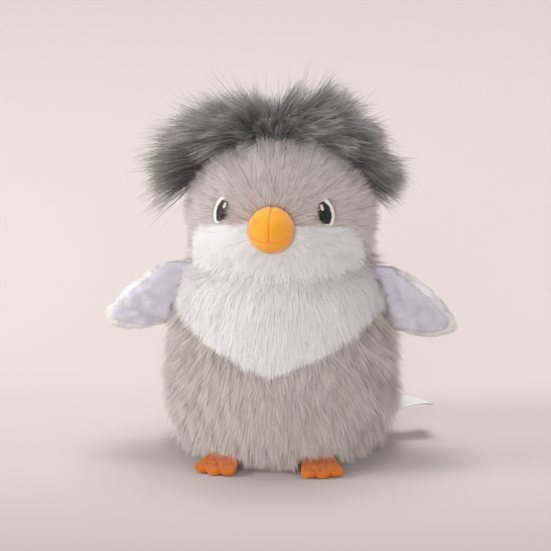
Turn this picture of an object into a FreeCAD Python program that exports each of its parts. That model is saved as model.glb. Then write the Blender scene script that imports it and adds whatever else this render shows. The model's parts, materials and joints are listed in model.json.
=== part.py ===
import FreeCAD, Part
import math
import os

# A small plush penguin that stands on a flat base: fur panels sewn into one stuffed skin,
# an embroidered eye on each side, a padded beak, two padded wings sewn in the side seams,
# two felt feet, a mop of long hair on the crown and a folded care label.
# Millimetres. +Z is up, the penguin faces -Y, and left is -X, as seen from the front.
# The origin is the middle of the base, on the table.

Vector = FreeCAD.Vector

# Body: a barrel, round about Z. All radii are to the outside of the combed fur.
BODY_RADIUS = 58.5
BODY_WIDEST_Z = 32.0
BASE_RADIUS = 40.0
SHOULDER_RADIUS = 49.0
SHOULDER_Z = 90.0
SHOULDER_DOME = 20.0
BODY_PILE = 6.0
SIDE_SEAM_Y = 0.0

# Base disc and the pellet pouch that lies on it, each set in from what is round it.
BASE_PANEL_INSET = 4.0
BASE_THICKNESS = 1.5
POUCH_CLEARANCE = 8.0
POUCH_HEIGHT = 16.0

# Chest bib: a rounded V, from its tip up to the side seams, measured down from the shoulder.
BIB_TIP_DROP = 38.5
BIB_MID_X = 33.0
BIB_MID_DROP = 23.5
BIB_SIDE_RISE = 2.0

# Head: a ball that sinks into the shoulders.
HEAD_RADIUS = 46.0
HEAD_ABOVE_SHOULDER = 27.0
HEAD_PILE = 3.5
HEAD_SEAM_Y = 6.0
MUZZLE_RISE = 5.5
MUZZLE_CORNER_RISE = 3.5
MUZZLE_CORNER = 14.0
MUZZLE_INSET = 6.7

# Eyes: flat embroidery let into the fur. Bearings are from straight ahead.
EYE_BEARING = 37.0
EYE_RISE = 11.4
EYE_HALF_HEIGHT = 7.0
EYE_HALF_WIDTH = 4.6
EYE_RIM_HEIGHT = 1.4
EYE_RIM_WIDTH = 1.2
EYE_BLACK_FORWARD = 0.9
GLINT_HALF_HEIGHT = 1.5
GLINT_HALF_WIDTH = 0.7
GLINT_RISE = 2.6
GLINT_FORWARD = 0.8
EYE_DEPTH = 2.4
EYE_WHITE_SINK = 0.6
EYE_BLACK_SINK = 0.3
GLINT_SINK = 0.2

# Beak: a padded ball on the head's front, in three panels.
BEAK_RADIUS = 11.3
BEAK_RISE = 4.5
BEAK_PROUD = 1.5
BEAK_FABRIC = 1.2
BEAK_SEAM_RISE = 1.6
BEAK_SEAM_DIP = 4.0

# Hair: a mop of long pile, round about Z, open over the face.
HAIR_PAST_HEAD = 18.0
HAIR_OVER_CROWN = 27.0
HAIR_ABOVE_HEAD = 13.0
HAIR_BELOW_HEAD = 3.0
HAIR_BACK = 2.0
HAIR_ARCH_INSET = 3.0
HAIR_ARCH_RISE = 2.0
HAIR_ARCH_BACK_Y = -8.0

# Wings: flat padded flippers. Their outline is measured outward from the hinge line and
# along it, from the middle of the root.
WING_BELOW_SHOULDER = 10.0
WING_GAP = 1.2
WING_ROOT_TOP = 14.5
WING_ROOT_BOTTOM = -19.5
WING_REACH = 28.5
WING_DROP = 24.5
WING_TIP_RADIUS = 4.4
WING_TIP_UPPER_ANGLE = 30.0
WING_TIP_LOWER_ANGLE = -96.0
WING_UPPER_BULGE = 3.0
WING_LOWER_BULGE = 2.6
WING_THICKNESS = 11.0
WING_EDGE_THICKNESS = 2.4
WING_ROOT_THICKNESS = 1.6
WING_FABRIC = 1.2
WING_BACK_WRAP = 3.5
WING_SWING = 60.0
WING_SWING_MARGIN = 2.0

# Feet: felt pads with three round toes, heel up in the fur and toes on the table.
FOOT_BEARING = 29.5
FOOT_SEAM_OUT = 2.6
FOOT_LENGTH = 24.0
FOOT_HEEL_WIDTH = 13.0
FOOT_THICKNESS = 2.5
FOOT_TILT = 14.0
LEFT_FOOT_SPLAY = 17.0
RIGHT_FOOT_SPLAY = 15.0
TOE_RADIUS = 3.8
TOE_PITCH = 6.6
TOE_STEP_BACK = 1.2
FOOT_CLEARANCE = 0.6
FLOOR_CLEARANCE = 0.2

# Care label: a folded satin strip that arches out of the fur at the back right.
LABEL_BEARING = 20.0
LABEL_Z = 13.5
LABEL_GAP = 1.6
LABEL_LENGTH = 21.5
LABEL_WIDTH = 16.0
LABEL_ARCH = 2.0
LABEL_TIP_RISE = 1.5
LABEL_THICKNESS = 0.9

# Cutting shapes reach this far past what they cut.
MARGIN = 10.0

HEAD_Z = SHOULDER_Z + HEAD_ABOVE_SHOULDER
HAIR_Z = HEAD_Z + HAIR_ABOVE_HEAD
HAIR_RADIUS = HEAD_RADIUS + HAIR_PAST_HEAD
HAIR_HEIGHT = HEAD_RADIUS + HAIR_OVER_CROWN - HAIR_ABOVE_HEAD
WING_Z = SHOULDER_Z - WING_BELOW_SHOULDER


def polar(angle, radius=1.0):
    """Point of the XZ plane at this angle in degrees from +X towards +Z."""
    a = math.radians(angle)
    return Vector(radius * math.cos(a), 0, radius * math.sin(a))


def line(start, end):
    return Part.LineSegment(start, end).toShape()


def arc(start, middle, end):
    return Part.Arc(start, middle, end).toShape()


def bulged(start, end, bulge):
    """Arc of the XZ plane whose middle stands off its chord by bulge, to the chord's left."""
    chord = end - start
    left = Vector(-chord.z, 0, chord.x)
    left.normalize()
    return arc(start, (start + end) * 0.5 + left * bulge, end)


def upright_circle(wide, other):
    """Circle centred level with the point wide, through both: its centre's radius, and its own."""
    rise = other.z - wide.z
    centre = (wide.x**2 - other.x**2 - rise**2) / (2 * (wide.x - other.x))
    return centre, wide.x - centre


def upright_arc(wide, other):
    """Arc from wide, where it runs straight up, to other."""
    centre, radius = upright_circle(wide, other)
    half = math.degrees(math.asin((other.z - wide.z) / radius)) / 2
    middle = Vector(centre, 0, wide.z) + polar(half, radius)
    return arc(wide, middle, other)


def dome_circle(inset=0.0):
    """The shoulders' dome: the height of its centre, and its radius."""
    radius = (SHOULDER_RADIUS**2 + SHOULDER_DOME**2) / (2 * SHOULDER_DOME)
    return SHOULDER_Z + SHOULDER_DOME - radius, radius - inset


def revolved(edges):
    face = Part.Face(Part.Wire(edges))
    return face.revolve(Vector(0, 0, 0), Vector(0, 0, 1), 360)


def barrel(inset=0.0, bottom=0.0):
    """The body's outer shape, moved in by inset, with its base at height bottom."""
    foot = Vector(BASE_RADIUS - inset, 0, bottom)
    wide = Vector(BODY_RADIUS - inset, 0, BODY_WIDEST_Z)
    centre_z, radius = dome_circle(inset)
    shoulder = Vector(SHOULDER_RADIUS - inset, 0, 0)
    shoulder.z = centre_z + math.sqrt(radius**2 - shoulder.x**2)
    crown = Vector(0, 0, centre_z + radius)
    half = math.degrees(math.atan2(shoulder.z - centre_z, shoulder.x)) / 2 + 45
    side = Vector(0, 0, centre_z) + polar(half, radius)
    return revolved(
        [
            line(Vector(0, 0, bottom), foot),
            upright_arc(wide, foot),
            upright_arc(wide, shoulder),
            arc(shoulder, side, crown),
            line(crown, Vector(0, 0, bottom)),
        ]
    )


def body_radius_at(z):
    """Radius of the fur, and how fast it grows with height."""
    wide = Vector(BODY_RADIUS, 0, BODY_WIDEST_Z)
    end = Vector(BASE_RADIUS, 0, 0) if z < BODY_WIDEST_Z else Vector(SHOULDER_RADIUS, 0, SHOULDER_Z)
    centre, radius = upright_circle(wide, end)
    reach = math.sqrt(radius**2 - (z - BODY_WIDEST_Z) ** 2)
    return centre + reach, (BODY_WIDEST_Z - z) / reach


def neck_height():
    """Height at which the head's ball leaves the shoulders' dome."""
    dome_z, dome = dome_circle()
    return (dome**2 - HEAD_RADIUS**2 + HEAD_Z**2 - dome_z**2) / (2 * (HEAD_Z - dome_z))


def head_ball(inset=0.0):
    return Part.makeSphere(HEAD_RADIUS - inset, Vector(0, 0, HEAD_Z))


def slab(low, high):
    size = high - low
    return Part.makeBox(size.x, size.y, size.z, low)


def everything(axis, low, high):
    """A box that covers the whole toy, cut off at low and high along one axis."""
    reach = 4 * max(BODY_RADIUS, HEAD_RADIUS, HAIR_RADIUS)
    bottom = [-reach, -reach, -reach]
    top = [reach, reach, reach]
    if low is not None:
        bottom[axis] = low
    if high is not None:
        top[axis] = high
    return slab(Vector(*bottom), Vector(*top))


def along_y(edges, low, high):
    """Prism of an outline in the XZ plane, from y = low to y = high."""
    face = Part.Face(Part.Wire(edges))
    face.translate(Vector(0, low, 0))
    return face.extrude(Vector(0, high - low, 0))


def mirrored(shape):
    return shape.mirror(Vector(0, 0, 0), Vector(1, 0, 0))


def base_panel():
    return Part.makeCylinder(BASE_RADIUS - BASE_PANEL_INSET, BASE_THICKNESS)


def pellet_pouch():
    """Low dome of pellets on the base panel."""
    spread = BASE_RADIUS - BODY_PILE - POUCH_CLEARANCE
    radius = (spread**2 + POUCH_HEIGHT**2) / (2 * POUCH_HEIGHT)
    ball = Part.makeSphere(radius, Vector(0, 0, BASE_THICKNESS + POUCH_HEIGHT - radius))
    return ball.common(everything(2, BASE_THICKNESS, None))


def bib_region():
    """Prism in front of the side seams, above the bib's lower edge."""
    side = BODY_RADIUS + MARGIN
    top = HEAD_Z
    tip = Vector(0, 0, SHOULDER_Z - BIB_TIP_DROP)
    mid_z = SHOULDER_Z - BIB_MID_DROP
    side_z = SHOULDER_Z + BIB_SIDE_RISE
    outline = [
        arc(tip, Vector(BIB_MID_X, 0, mid_z), Vector(side, 0, side_z)),
        line(Vector(side, 0, side_z), Vector(side, 0, top)),
        line(Vector(side, 0, top), Vector(-side, 0, top)),
        line(Vector(-side, 0, top), Vector(-side, 0, side_z)),
        arc(Vector(-side, 0, side_z), Vector(-BIB_MID_X, 0, mid_z), tip),
    ]
    return along_y(outline, -side, SIDE_SEAM_Y)


def muzzle_region():
    """Prism in front of the head: a broad shape with rounded upper corners, the two cheeks."""
    side = HEAD_RADIUS - MUZZLE_INSET
    inner = side - MUZZLE_CORNER
    top = HEAD_Z + MUZZLE_CORNER_RISE
    edge = top - MUZZLE_CORNER
    bevel = MUZZLE_CORNER * (1 - math.sqrt(0.5))
    low = SHOULDER_Z - MARGIN
    outline = [
        arc(Vector(-inner, 0, top), Vector(0, 0, HEAD_Z + MUZZLE_RISE), Vector(inner, 0, top)),
        arc(Vector(inner, 0, top), Vector(side - bevel, 0, top - bevel), Vector(side, 0, edge)),
        line(Vector(side, 0, edge), Vector(side, 0, low)),
        line(Vector(side, 0, low), Vector(-side, 0, low)),
        line(Vector(-side, 0, low), Vector(-side, 0, edge)),
        arc(Vector(-side, 0, edge), Vector(bevel - side, 0, top - bevel), Vector(-inner, 0, top)),
    ]
    return along_y(outline, -HEAD_RADIUS - MARGIN, HEAD_SEAM_Y)


def front_back(shell, region, seam_y):
    """Cuts a shell into a front panel in the region, the rest of its front, and two backs."""
    front = shell.common(everything(1, None, seam_y))
    back = shell.common(everything(1, seam_y, None))
    return (
        front.common(region),
        front.cut(region),
        back.common(everything(0, None, 0)),
        back.common(everything(0, 0, None)),
    )


def eye_frame():
    """Placement of the right eye: local X is up the head, Y towards the beak, Z straight out."""
    bearing = math.radians(EYE_BEARING)
    rise = math.asin(EYE_RISE / HEAD_RADIUS)
    outward = Vector(
        math.sin(bearing) * math.cos(rise), -math.cos(bearing) * math.cos(rise), math.sin(rise)
    )
    sideways = Vector(math.cos(bearing), math.sin(bearing), 0)
    up = outward.cross(sideways)
    turn = FreeCAD.Rotation(up, outward.cross(up), outward, "ZXY")
    return FreeCAD.Placement(Vector(0, 0, HEAD_Z), turn)


def eye_prism(half_height, half_width, rise=0.0, forward=0.0):
    """Oval column that runs straight out of the head at the right eye."""
    oval = Part.Ellipse(Vector(rise, forward, HEAD_RADIUS / 2), half_height, half_width)
    column = Part.Face(Part.Wire([oval.toShape()])).extrude(Vector(0, 0, HEAD_RADIUS))
    column.Placement = eye_frame()
    return column


def eye_parts():
    """White surround, black pupil and glint of the right eye, and the pocket they fill."""
    floor = head_ball(EYE_DEPTH)
    white = eye_prism(EYE_HALF_HEIGHT, EYE_HALF_WIDTH)
    black = eye_prism(
        EYE_HALF_HEIGHT - EYE_RIM_HEIGHT, EYE_HALF_WIDTH - EYE_RIM_WIDTH, 0, EYE_BLACK_FORWARD
    )
    glint = eye_prism(
        GLINT_HALF_HEIGHT, GLINT_HALF_WIDTH, GLINT_RISE, EYE_BLACK_FORWARD + GLINT_FORWARD
    )
    return {
        "eye_white": white.cut(black).common(head_ball(EYE_WHITE_SINK)).cut(floor),
        "eye_black": black.cut(glint).common(head_ball(EYE_BLACK_SINK)).cut(floor),
        "eye_glint": glint.common(head_ball(GLINT_SINK)).cut(floor),
        "pocket": white.cut(floor),
    }


def beak_parts():
    """Two upper panels, a lower panel and the filling, outside the head's fur."""
    reach = math.sqrt(HEAD_RADIUS**2 - BEAK_RISE**2) + BEAK_PROUD
    centre = Vector(0, -reach, HEAD_Z + BEAK_RISE)
    head = head_ball()
    filling = Part.makeSphere(BEAK_RADIUS - BEAK_FABRIC, centre).cut(head)
    skin = Part.makeSphere(BEAK_RADIUS, centre).cut(head).cut(filling)
    side = BEAK_RADIUS + MARGIN
    seam_z = centre.z + BEAK_SEAM_RISE
    low = centre.z - side
    # The seam rises evenly from its dip to the beak's sides, and runs on past them.
    rise = (BEAK_SEAM_RISE + BEAK_SEAM_DIP) * (side / BEAK_RADIUS - 1)
    dip = Vector(0, 0, centre.z - BEAK_SEAM_DIP)
    left = Vector(-side, 0, seam_z + rise)
    right = Vector(side, 0, seam_z + rise)
    outline = [
        arc(left, dip, right),
        line(right, Vector(side, 0, low)),
        line(Vector(side, 0, low), Vector(-side, 0, low)),
        line(Vector(-side, 0, low), left),
    ]
    below = along_y(outline, -reach - side, 0)
    upper = skin.cut(below)
    return {
        "beak_upper_left": upper.common(everything(0, None, 0)),
        "beak_upper_right": upper.common(everything(0, 0, None)),
        "beak_lower": skin.common(below),
        "beak_stuffing": filling,
    }


def hair_tuft():
    """Ellipsoid of long pile round the head, with an arch left open over the face."""
    centre = Vector(0, 0, HAIR_Z)
    reaches = [Vector(HAIR_RADIUS, 0, 0), Vector(0, 0, HAIR_HEIGHT)]
    reaches.sort(key=lambda reach: reach.Length)
    oval = Part.Ellipse(centre + reaches[1], centre + reaches[0], centre)
    half = Part.Face(Part.Wire([oval.toShape()])).common(everything(0, 0, None))
    mop = half.revolve(Vector(0, 0, 0), Vector(0, 0, 1), 360)
    mop.translate(Vector(0, HAIR_BACK, 0))
    arch_z = HEAD_Z + HAIR_ARCH_RISE
    low = HAIR_Z - HAIR_HEIGHT - MARGIN
    radius = HEAD_RADIUS - HAIR_ARCH_INSET
    outline = [
        arc(Vector(-radius, 0, arch_z), Vector(0, 0, arch_z + radius), Vector(radius, 0, arch_z)),
        line(Vector(radius, 0, arch_z), Vector(radius, 0, low)),
        line(Vector(radius, 0, low), Vector(-radius, 0, low)),
        line(Vector(-radius, 0, low), Vector(-radius, 0, arch_z)),
    ]
    face_opening = along_y(outline, -HAIR_RADIUS - MARGIN, HAIR_ARCH_BACK_Y)
    hair = mop.common(everything(2, HEAD_Z - HAIR_BELOW_HEAD, None))
    return hair.cut(head_ball()).cut(face_opening)


def wing_outline():
    tip = Vector(WING_REACH - WING_TIP_RADIUS, 0, -WING_DROP)
    root_top = Vector(0, 0, WING_ROOT_TOP)
    root_bottom = Vector(0, 0, WING_ROOT_BOTTOM)
    upper = tip + polar(WING_TIP_UPPER_ANGLE, WING_TIP_RADIUS)
    lower = tip + polar(WING_TIP_LOWER_ANGLE, WING_TIP_RADIUS)
    outermost = tip + polar((WING_TIP_UPPER_ANGLE + WING_TIP_LOWER_ANGLE) / 2, WING_TIP_RADIUS)
    return Part.Wire(
        [
            bulged(root_top, upper, WING_UPPER_BULGE),
            arc(upper, outermost, lower),
            bulged(lower, root_bottom, WING_LOWER_BULGE),
            line(root_bottom, root_top),
        ]
    )


def wing_lens(inset):
    """Two large balls whose common part is as thick as the wing, less inset on each face."""
    half = WING_THICKNESS / 2
    drop = half - WING_EDGE_THICKNESS / 2
    middle = Vector(WING_REACH / 2, 0, (WING_ROOT_TOP - WING_DROP) / 2)
    corner = Vector(0, 0, WING_ROOT_TOP)
    reach = (corner - middle).Length
    radius = (reach**2 + drop**2) / (2 * drop)
    front = Part.makeSphere(radius - inset, middle + Vector(0, radius - half, 0))
    back = Part.makeSphere(radius - inset, middle - Vector(0, radius - half, 0))
    return front.common(back)


def wing_prism(wire, shift=Vector(0, 0, 0)):
    """Column of an outline across the wing's thickness."""
    face = Part.Face(wire)
    face.translate(shift - Vector(0, WING_THICKNESS, 0))
    return face.extrude(Vector(0, 2 * WING_THICKNESS, 0))


def wing_wedge():
    """What the wing may fill so that its root clears the body over the whole swing."""
    half = WING_ROOT_THICKNESS / 2
    reach = WING_REACH + MARGIN
    spread = half + reach * math.tan(math.radians(90 - WING_SWING - WING_SWING_MARGIN))
    corners = [
        Vector(0, -half, 0),
        Vector(reach, -spread, 0),
        Vector(reach, spread, 0),
        Vector(0, half, 0),
        Vector(0, -half, 0),
    ]
    face = Part.Face(Part.makePolygon(corners))
    height = 2 * (WING_DROP + WING_ROOT_TOP + MARGIN)
    face.translate(Vector(0, 0, -height / 2))
    return face.extrude(Vector(0, 0, height))


def wing_hinge():
    """Middle and direction of the right wing's hinge line, which runs up the side seam."""
    radius, growth = body_radius_at(WING_Z)
    up = Vector(growth, 0, 1)
    up.normalize()
    outward = Vector(up.z, 0, -up.x)
    middle = Vector(radius, SIDE_SEAM_Y, WING_Z) + outward * WING_GAP
    return middle, up, outward


def wing_parts():
    """Front panel, back panel and wadding of the right wing."""
    outline = wing_outline()
    wedge = wing_wedge()
    outside = wing_prism(outline).common(wing_lens(0)).common(wedge)
    inner_outline = outline.makeOffset2D(-WING_FABRIC)
    inside = wing_prism(inner_outline).common(wing_lens(WING_FABRIC)).common(wedge)
    skin = outside.cut(inside)
    wrap = Vector(-WING_BACK_WRAP, 0, WING_BACK_WRAP)
    front_region = wing_prism(outline, wrap).common(everything(1, None, 0))
    parts = {
        "wing_front_panel": skin.common(front_region),
        "wing_back_panel": skin.cut(front_region),
        "wing_wadding": inside,
    }
    middle, up, outward = wing_hinge()
    turn = FreeCAD.Rotation(outward, Vector(0, 1, 0), up, "ZXY")
    for shape in parts.values():
        shape.Placement = FreeCAD.Placement(middle, turn).multiply(shape.Placement)
    return parts


def foot_heel(side):
    """Bottom of the heel's back edge, where the foot is sewn in."""
    bearing = math.radians(FOOT_BEARING)
    radius = BASE_RADIUS + FOOT_SEAM_OUT
    height = FLOOR_CLEARANCE + FOOT_LENGTH * math.sin(math.radians(FOOT_TILT))
    return Vector(side * radius * math.sin(bearing), -radius * math.cos(bearing), height)


def foot(side, splay, grow=0.0, below=0.0):
    """Felt foot, larger by grow all round and deeper by below."""
    low = -below
    height = FOOT_THICKNESS + grow + below
    heel = FOOT_HEEL_WIDTH / 2 + grow
    toe_line = -(FOOT_LENGTH - TOE_RADIUS)
    corner = TOE_PITCH + TOE_RADIUS + grow
    outer_toe = toe_line + TOE_STEP_BACK
    sole = [
        Vector(-heel, grow, low),
        Vector(heel, grow, low),
        Vector(corner, outer_toe, low),
        Vector(-corner, outer_toe, low),
        Vector(-heel, grow, low),
    ]
    shape = Part.Face(Part.makePolygon(sole)).extrude(Vector(0, 0, height))
    for toe in (-1, 0, 1):
        tip = Vector(toe * TOE_PITCH, toe_line + abs(toe) * TOE_STEP_BACK, low)
        shape = shape.fuse(Part.makeCylinder(TOE_RADIUS + grow, height, tip))
    shape = shape.removeSplitter()
    shape.rotate(Vector(0, 0, 0), Vector(1, 0, 0), FOOT_TILT)
    shape.rotate(Vector(0, 0, 0), Vector(0, 0, 1), side * splay)
    shape.translate(foot_heel(side))
    return shape


def label_root():
    """Radius of the label's root, just outside the fur."""
    return body_radius_at(LABEL_Z)[0] + LABEL_GAP


def care_label():
    """Strip that arches outward and a little down to its tip."""
    root = label_root()
    half = LABEL_THICKNESS / 2
    ends = []
    for lift in (-half, half):
        start = Vector(root, 0, LABEL_Z + lift)
        end = Vector(root + LABEL_LENGTH, 0, LABEL_Z + LABEL_TIP_RISE + lift)
        ends.append((start, end))
    (start, end), (upper_start, upper_end) = ends
    outline = [
        bulged(start, end, LABEL_ARCH),
        line(end, upper_end),
        bulged(upper_end, upper_start, -LABEL_ARCH),
        line(upper_start, start),
    ]
    strip = along_y(outline, -LABEL_WIDTH / 2, LABEL_WIDTH / 2)
    strip.rotate(Vector(0, 0, 0), Vector(0, 0, 1), LABEL_BEARING)
    return strip


def skin_parts(pocket):
    """Fur panels, base and fillings, with the openings for the feet and the eyes."""
    neck = neck_height()
    below = everything(2, None, neck)
    above = everything(2, neck, None)
    base = base_panel()
    pouch = pellet_pouch()
    filling = barrel(BODY_PILE, BASE_THICKNESS).common(below)
    body_shell = barrel().common(below).cut(filling).cut(base)
    feet = [
        foot(side, splay, FOOT_CLEARANCE, BODY_RADIUS)
        for side, splay in ((-1, LEFT_FOOT_SPLAY), (1, RIGHT_FOOT_SPLAY))
    ]
    for opening in feet:
        body_shell = body_shell.cut(opening)
        filling = filling.cut(opening)
    bib, front, back_left, back_right = front_back(body_shell, bib_region(), SIDE_SEAM_Y)
    head_filling = head_ball(HEAD_PILE).common(above)
    head_shell = head_ball().common(above).cut(head_filling)
    head_shell = head_shell.cut(pocket).cut(mirrored(pocket))
    muzzle, forehead, head_left, head_right = front_back(
        head_shell, muzzle_region(), HEAD_SEAM_Y
    )
    return {
        "base_panel": base,
        "pellet_pouch": pouch,
        "body_stuffing": filling.cut(pouch),
        "chest_bib": bib,
        "body_front_panel": front,
        "body_back_left_panel": back_left,
        "body_back_right_panel": back_right,
        "head_stuffing": head_filling,
        "muzzle_panel": muzzle,
        "forehead_panel": forehead,
        "head_back_left_panel": head_left,
        "head_back_right_panel": head_right,
    }


def all_parts():
    """Every piece by name."""
    right_eye = eye_parts()
    pocket = right_eye.pop("pocket")
    parts = skin_parts(pocket)
    parts.update(beak_parts())
    parts["hair_tuft"] = hair_tuft()
    pairs = dict(right_eye)
    pairs.update(wing_parts())
    for name, shape in pairs.items():
        parts["right_" + name] = shape
        parts["left_" + name] = mirrored(shape)
    parts["left_foot"] = foot(-1, LEFT_FOOT_SPLAY)
    parts["right_foot"] = foot(1, RIGHT_FOOT_SPLAY)
    parts["care_label"] = care_label()
    return parts


def print_hinges():
    """Prints where the joints lie, in metres, so that they can be stated with the part."""
    middle, up, _ = wing_hinge()
    heels = (foot_heel(-1), foot_heel(1))
    label = polar(0, label_root())
    label.z = LABEL_Z
    turn = FreeCAD.Rotation(Vector(0, 0, 1), LABEL_BEARING)
    for name, point in (
        ("right wing hinge", middle),
        ("left foot heel", heels[0]),
        ("right foot heel", heels[1]),
        ("label root", turn.multVec(label)),
    ):
        print(name, [round(value / 1000, 5) for value in point])
    print("right wing axis", [round(value, 5) for value in up])
    print("label axis", [round(value, 5) for value in turn.multVec(Vector(0, 1, 0))])


os.makedirs("parts", exist_ok=True)
for name, shape in all_parts().items():
    if not shape.isValid() or shape.Volume <= 0:
        raise ValueError(name + " is not a valid solid")
    shape.exportStep(os.path.join("parts", name + ".step"))
    box = shape.BoundBox
    print(
        f"{name:24s} solids {len(shape.Solids)} volume {shape.Volume:9.1f}"
        f" x {box.XMin:6.1f} {box.XMax:6.1f} y {box.YMin:6.1f} {box.YMax:6.1f}"
        f" z {box.ZMin:6.1f} {box.ZMax:6.1f}"
    )
print_hinges()
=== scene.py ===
import json
import logging
import math
from collections.abc import Callable
from dataclasses import dataclass, field, replace
from enum import Enum
from functools import partial
from typing import ClassVar

import bpy
import numpy as np
from mathutils import Matrix, Vector
from mathutils.bvhtree import BVHTree
from mathutils.kdtree import KDTree


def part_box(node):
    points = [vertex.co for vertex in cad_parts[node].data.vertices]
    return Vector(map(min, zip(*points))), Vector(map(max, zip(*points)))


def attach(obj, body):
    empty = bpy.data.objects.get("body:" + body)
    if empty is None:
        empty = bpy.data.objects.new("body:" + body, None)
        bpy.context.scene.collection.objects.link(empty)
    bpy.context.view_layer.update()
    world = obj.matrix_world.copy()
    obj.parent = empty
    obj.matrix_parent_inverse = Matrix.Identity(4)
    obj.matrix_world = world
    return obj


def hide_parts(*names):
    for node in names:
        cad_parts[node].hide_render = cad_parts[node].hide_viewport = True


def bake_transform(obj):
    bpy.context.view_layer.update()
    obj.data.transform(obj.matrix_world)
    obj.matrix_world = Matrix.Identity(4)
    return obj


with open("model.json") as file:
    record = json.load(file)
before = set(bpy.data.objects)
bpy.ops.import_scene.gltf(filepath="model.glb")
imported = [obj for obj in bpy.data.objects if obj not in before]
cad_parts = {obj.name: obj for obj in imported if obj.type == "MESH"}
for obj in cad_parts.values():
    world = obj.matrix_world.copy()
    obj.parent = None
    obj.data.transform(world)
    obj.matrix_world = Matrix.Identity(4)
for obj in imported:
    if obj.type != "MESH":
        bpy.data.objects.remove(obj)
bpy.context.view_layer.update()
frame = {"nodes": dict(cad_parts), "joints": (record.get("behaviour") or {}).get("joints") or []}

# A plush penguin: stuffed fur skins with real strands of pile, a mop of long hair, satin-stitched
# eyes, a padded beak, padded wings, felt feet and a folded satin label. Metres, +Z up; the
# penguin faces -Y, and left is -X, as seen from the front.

MM = 0.001
STRAND_MAP = "OFBake"
# Name of the point attribute that paints shade into the seams' grooves.
SEAM_SHADE_MARK = "seam"
log = logging.getLogger("plush_penguin")

Array = np.ndarray


class Side(Enum):
    """Which side of the toy a piece is on, as seen from the front."""

    LEFT = "left"
    RIGHT = "right"


# ---------------------------------------------------------------- colour and shader helpers


def srgb(code: str) -> tuple[float, float, float, float]:
    """Turn an sRGB hex colour into a linear RGBA one.

    Args:
        code: The colour as "#RRGGBB".

    Returns:
        Linear red, green and blue, and an alpha of 1.
    """
    parts = [int(code[i : i + 2], 16) / 255 for i in (1, 3, 5)]
    linear = [c / 12.92 if c <= 0.04045 else ((c + 0.055) / 1.055) ** 2.4 for c in parts]
    return (*linear, 1.0)


def add_node(
    tree: bpy.types.NodeTree, kind: str, settings: dict | None = None, links: dict | None = None
) -> bpy.types.Node:
    """Add a node with its settings and incoming links.

    Args:
        tree: The node tree.
        kind: The node's type name.
        settings: Attribute names, or input names or numbers, and their values.
        links: Input names or numbers, and the output sockets that feed them.

    Returns:
        The new node.
    """
    node = tree.nodes.new(kind)
    for name, value in (settings or {}).items():
        if isinstance(name, str) and hasattr(node, name):
            setattr(node, name, value)
        else:
            node.inputs[name].default_value = value
    for name, socket in (links or {}).items():
        tree.links.new(socket, node.inputs[name])
    return node


def new_material(name: str) -> tuple[bpy.types.Material, bpy.types.NodeTree, bpy.types.Node]:
    """Start a material with one Principled shader.

    Args:
        name: The material's name.

    Returns:
        The material, its node tree and its Principled node.
    """
    material = bpy.data.materials.new(name)
    material.use_nodes = True
    tree = material.node_tree
    return material, tree, tree.nodes["Principled BSDF"]


def set_inputs(shader: bpy.types.Node, values: dict[str, float]) -> None:
    """Set a shader's own sockets.

    Args:
        shader: The Principled node.
        values: Input names and their values.
    """
    for name, value in values.items():
        shader.inputs[name].default_value = value


def set_ramp(node: bpy.types.Node, stops: list[tuple[float, str]]) -> None:
    """Give a colour ramp its stops.

    Args:
        node: The ColorRamp node.
        stops: Positions and sRGB hex colours, in order.
    """
    ramp = node.color_ramp
    while len(ramp.elements) < len(stops):
        ramp.elements.new(1.0)
    for element, (place, code) in zip(ramp.elements, stops):
        element.position = place
        element.color = srgb(code)


# ---------------------------------------------------------------- finishes


@dataclass(frozen=True)
class PileFinish:
    """Acrylic pile yarn, knitted into a backing and brushed.

    Each strand is painted darker at its root, as shade where little light gets in, and paler at
    its tip, as painted light where the tip catches it; and strands differ in tone, which gives
    the eye the streaks of combed fur.
    """

    name: str
    root: str
    middle: str
    tip: str
    dark: str
    pale: str
    roughness: float = 0.75
    specular: float = 0.25
    sheen: float = 0.35
    tone_share: float = 0.5

    def material(self) -> bpy.types.Material:
        """Build the material from the strands' own map: tone across, root to tip along.

        Returns:
            The material.
        """
        material, tree, shader = new_material(self.name)
        place = add_node(tree, "ShaderNodeUVMap", {"uv_map": STRAND_MAP})
        split = add_node(tree, "ShaderNodeSeparateXYZ", {}, {0: place.outputs[0]})
        # Root to tip: painted shade at the root, painted light at the tip.
        along = add_node(tree, "ShaderNodeValToRGB", {}, {0: split.outputs["Y"]})
        set_ramp(along, [(0.0, self.root), (0.45, self.middle), (1.0, self.tip)])
        tone = add_node(tree, "ShaderNodeValToRGB", {}, {0: split.outputs["X"]})
        set_ramp(tone, [(0.0, self.dark), (0.5, self.middle), (1.0, self.pale)])
        settings = {"data_type": "RGBA", "blend_type": "MIX", 0: self.tone_share}
        mix = add_node(tree, "ShaderNodeMix", settings, {6: along.outputs[0], 7: tone.outputs[0]})
        tree.links.new(mix.outputs[2], shader.inputs["Base Color"])
        gloss = {"Roughness": self.roughness, "Specular IOR Level": self.specular}
        set_inputs(shader, {**gloss, "Sheen Weight": self.sheen, "Sheen Roughness": 0.5})
        return material


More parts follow.
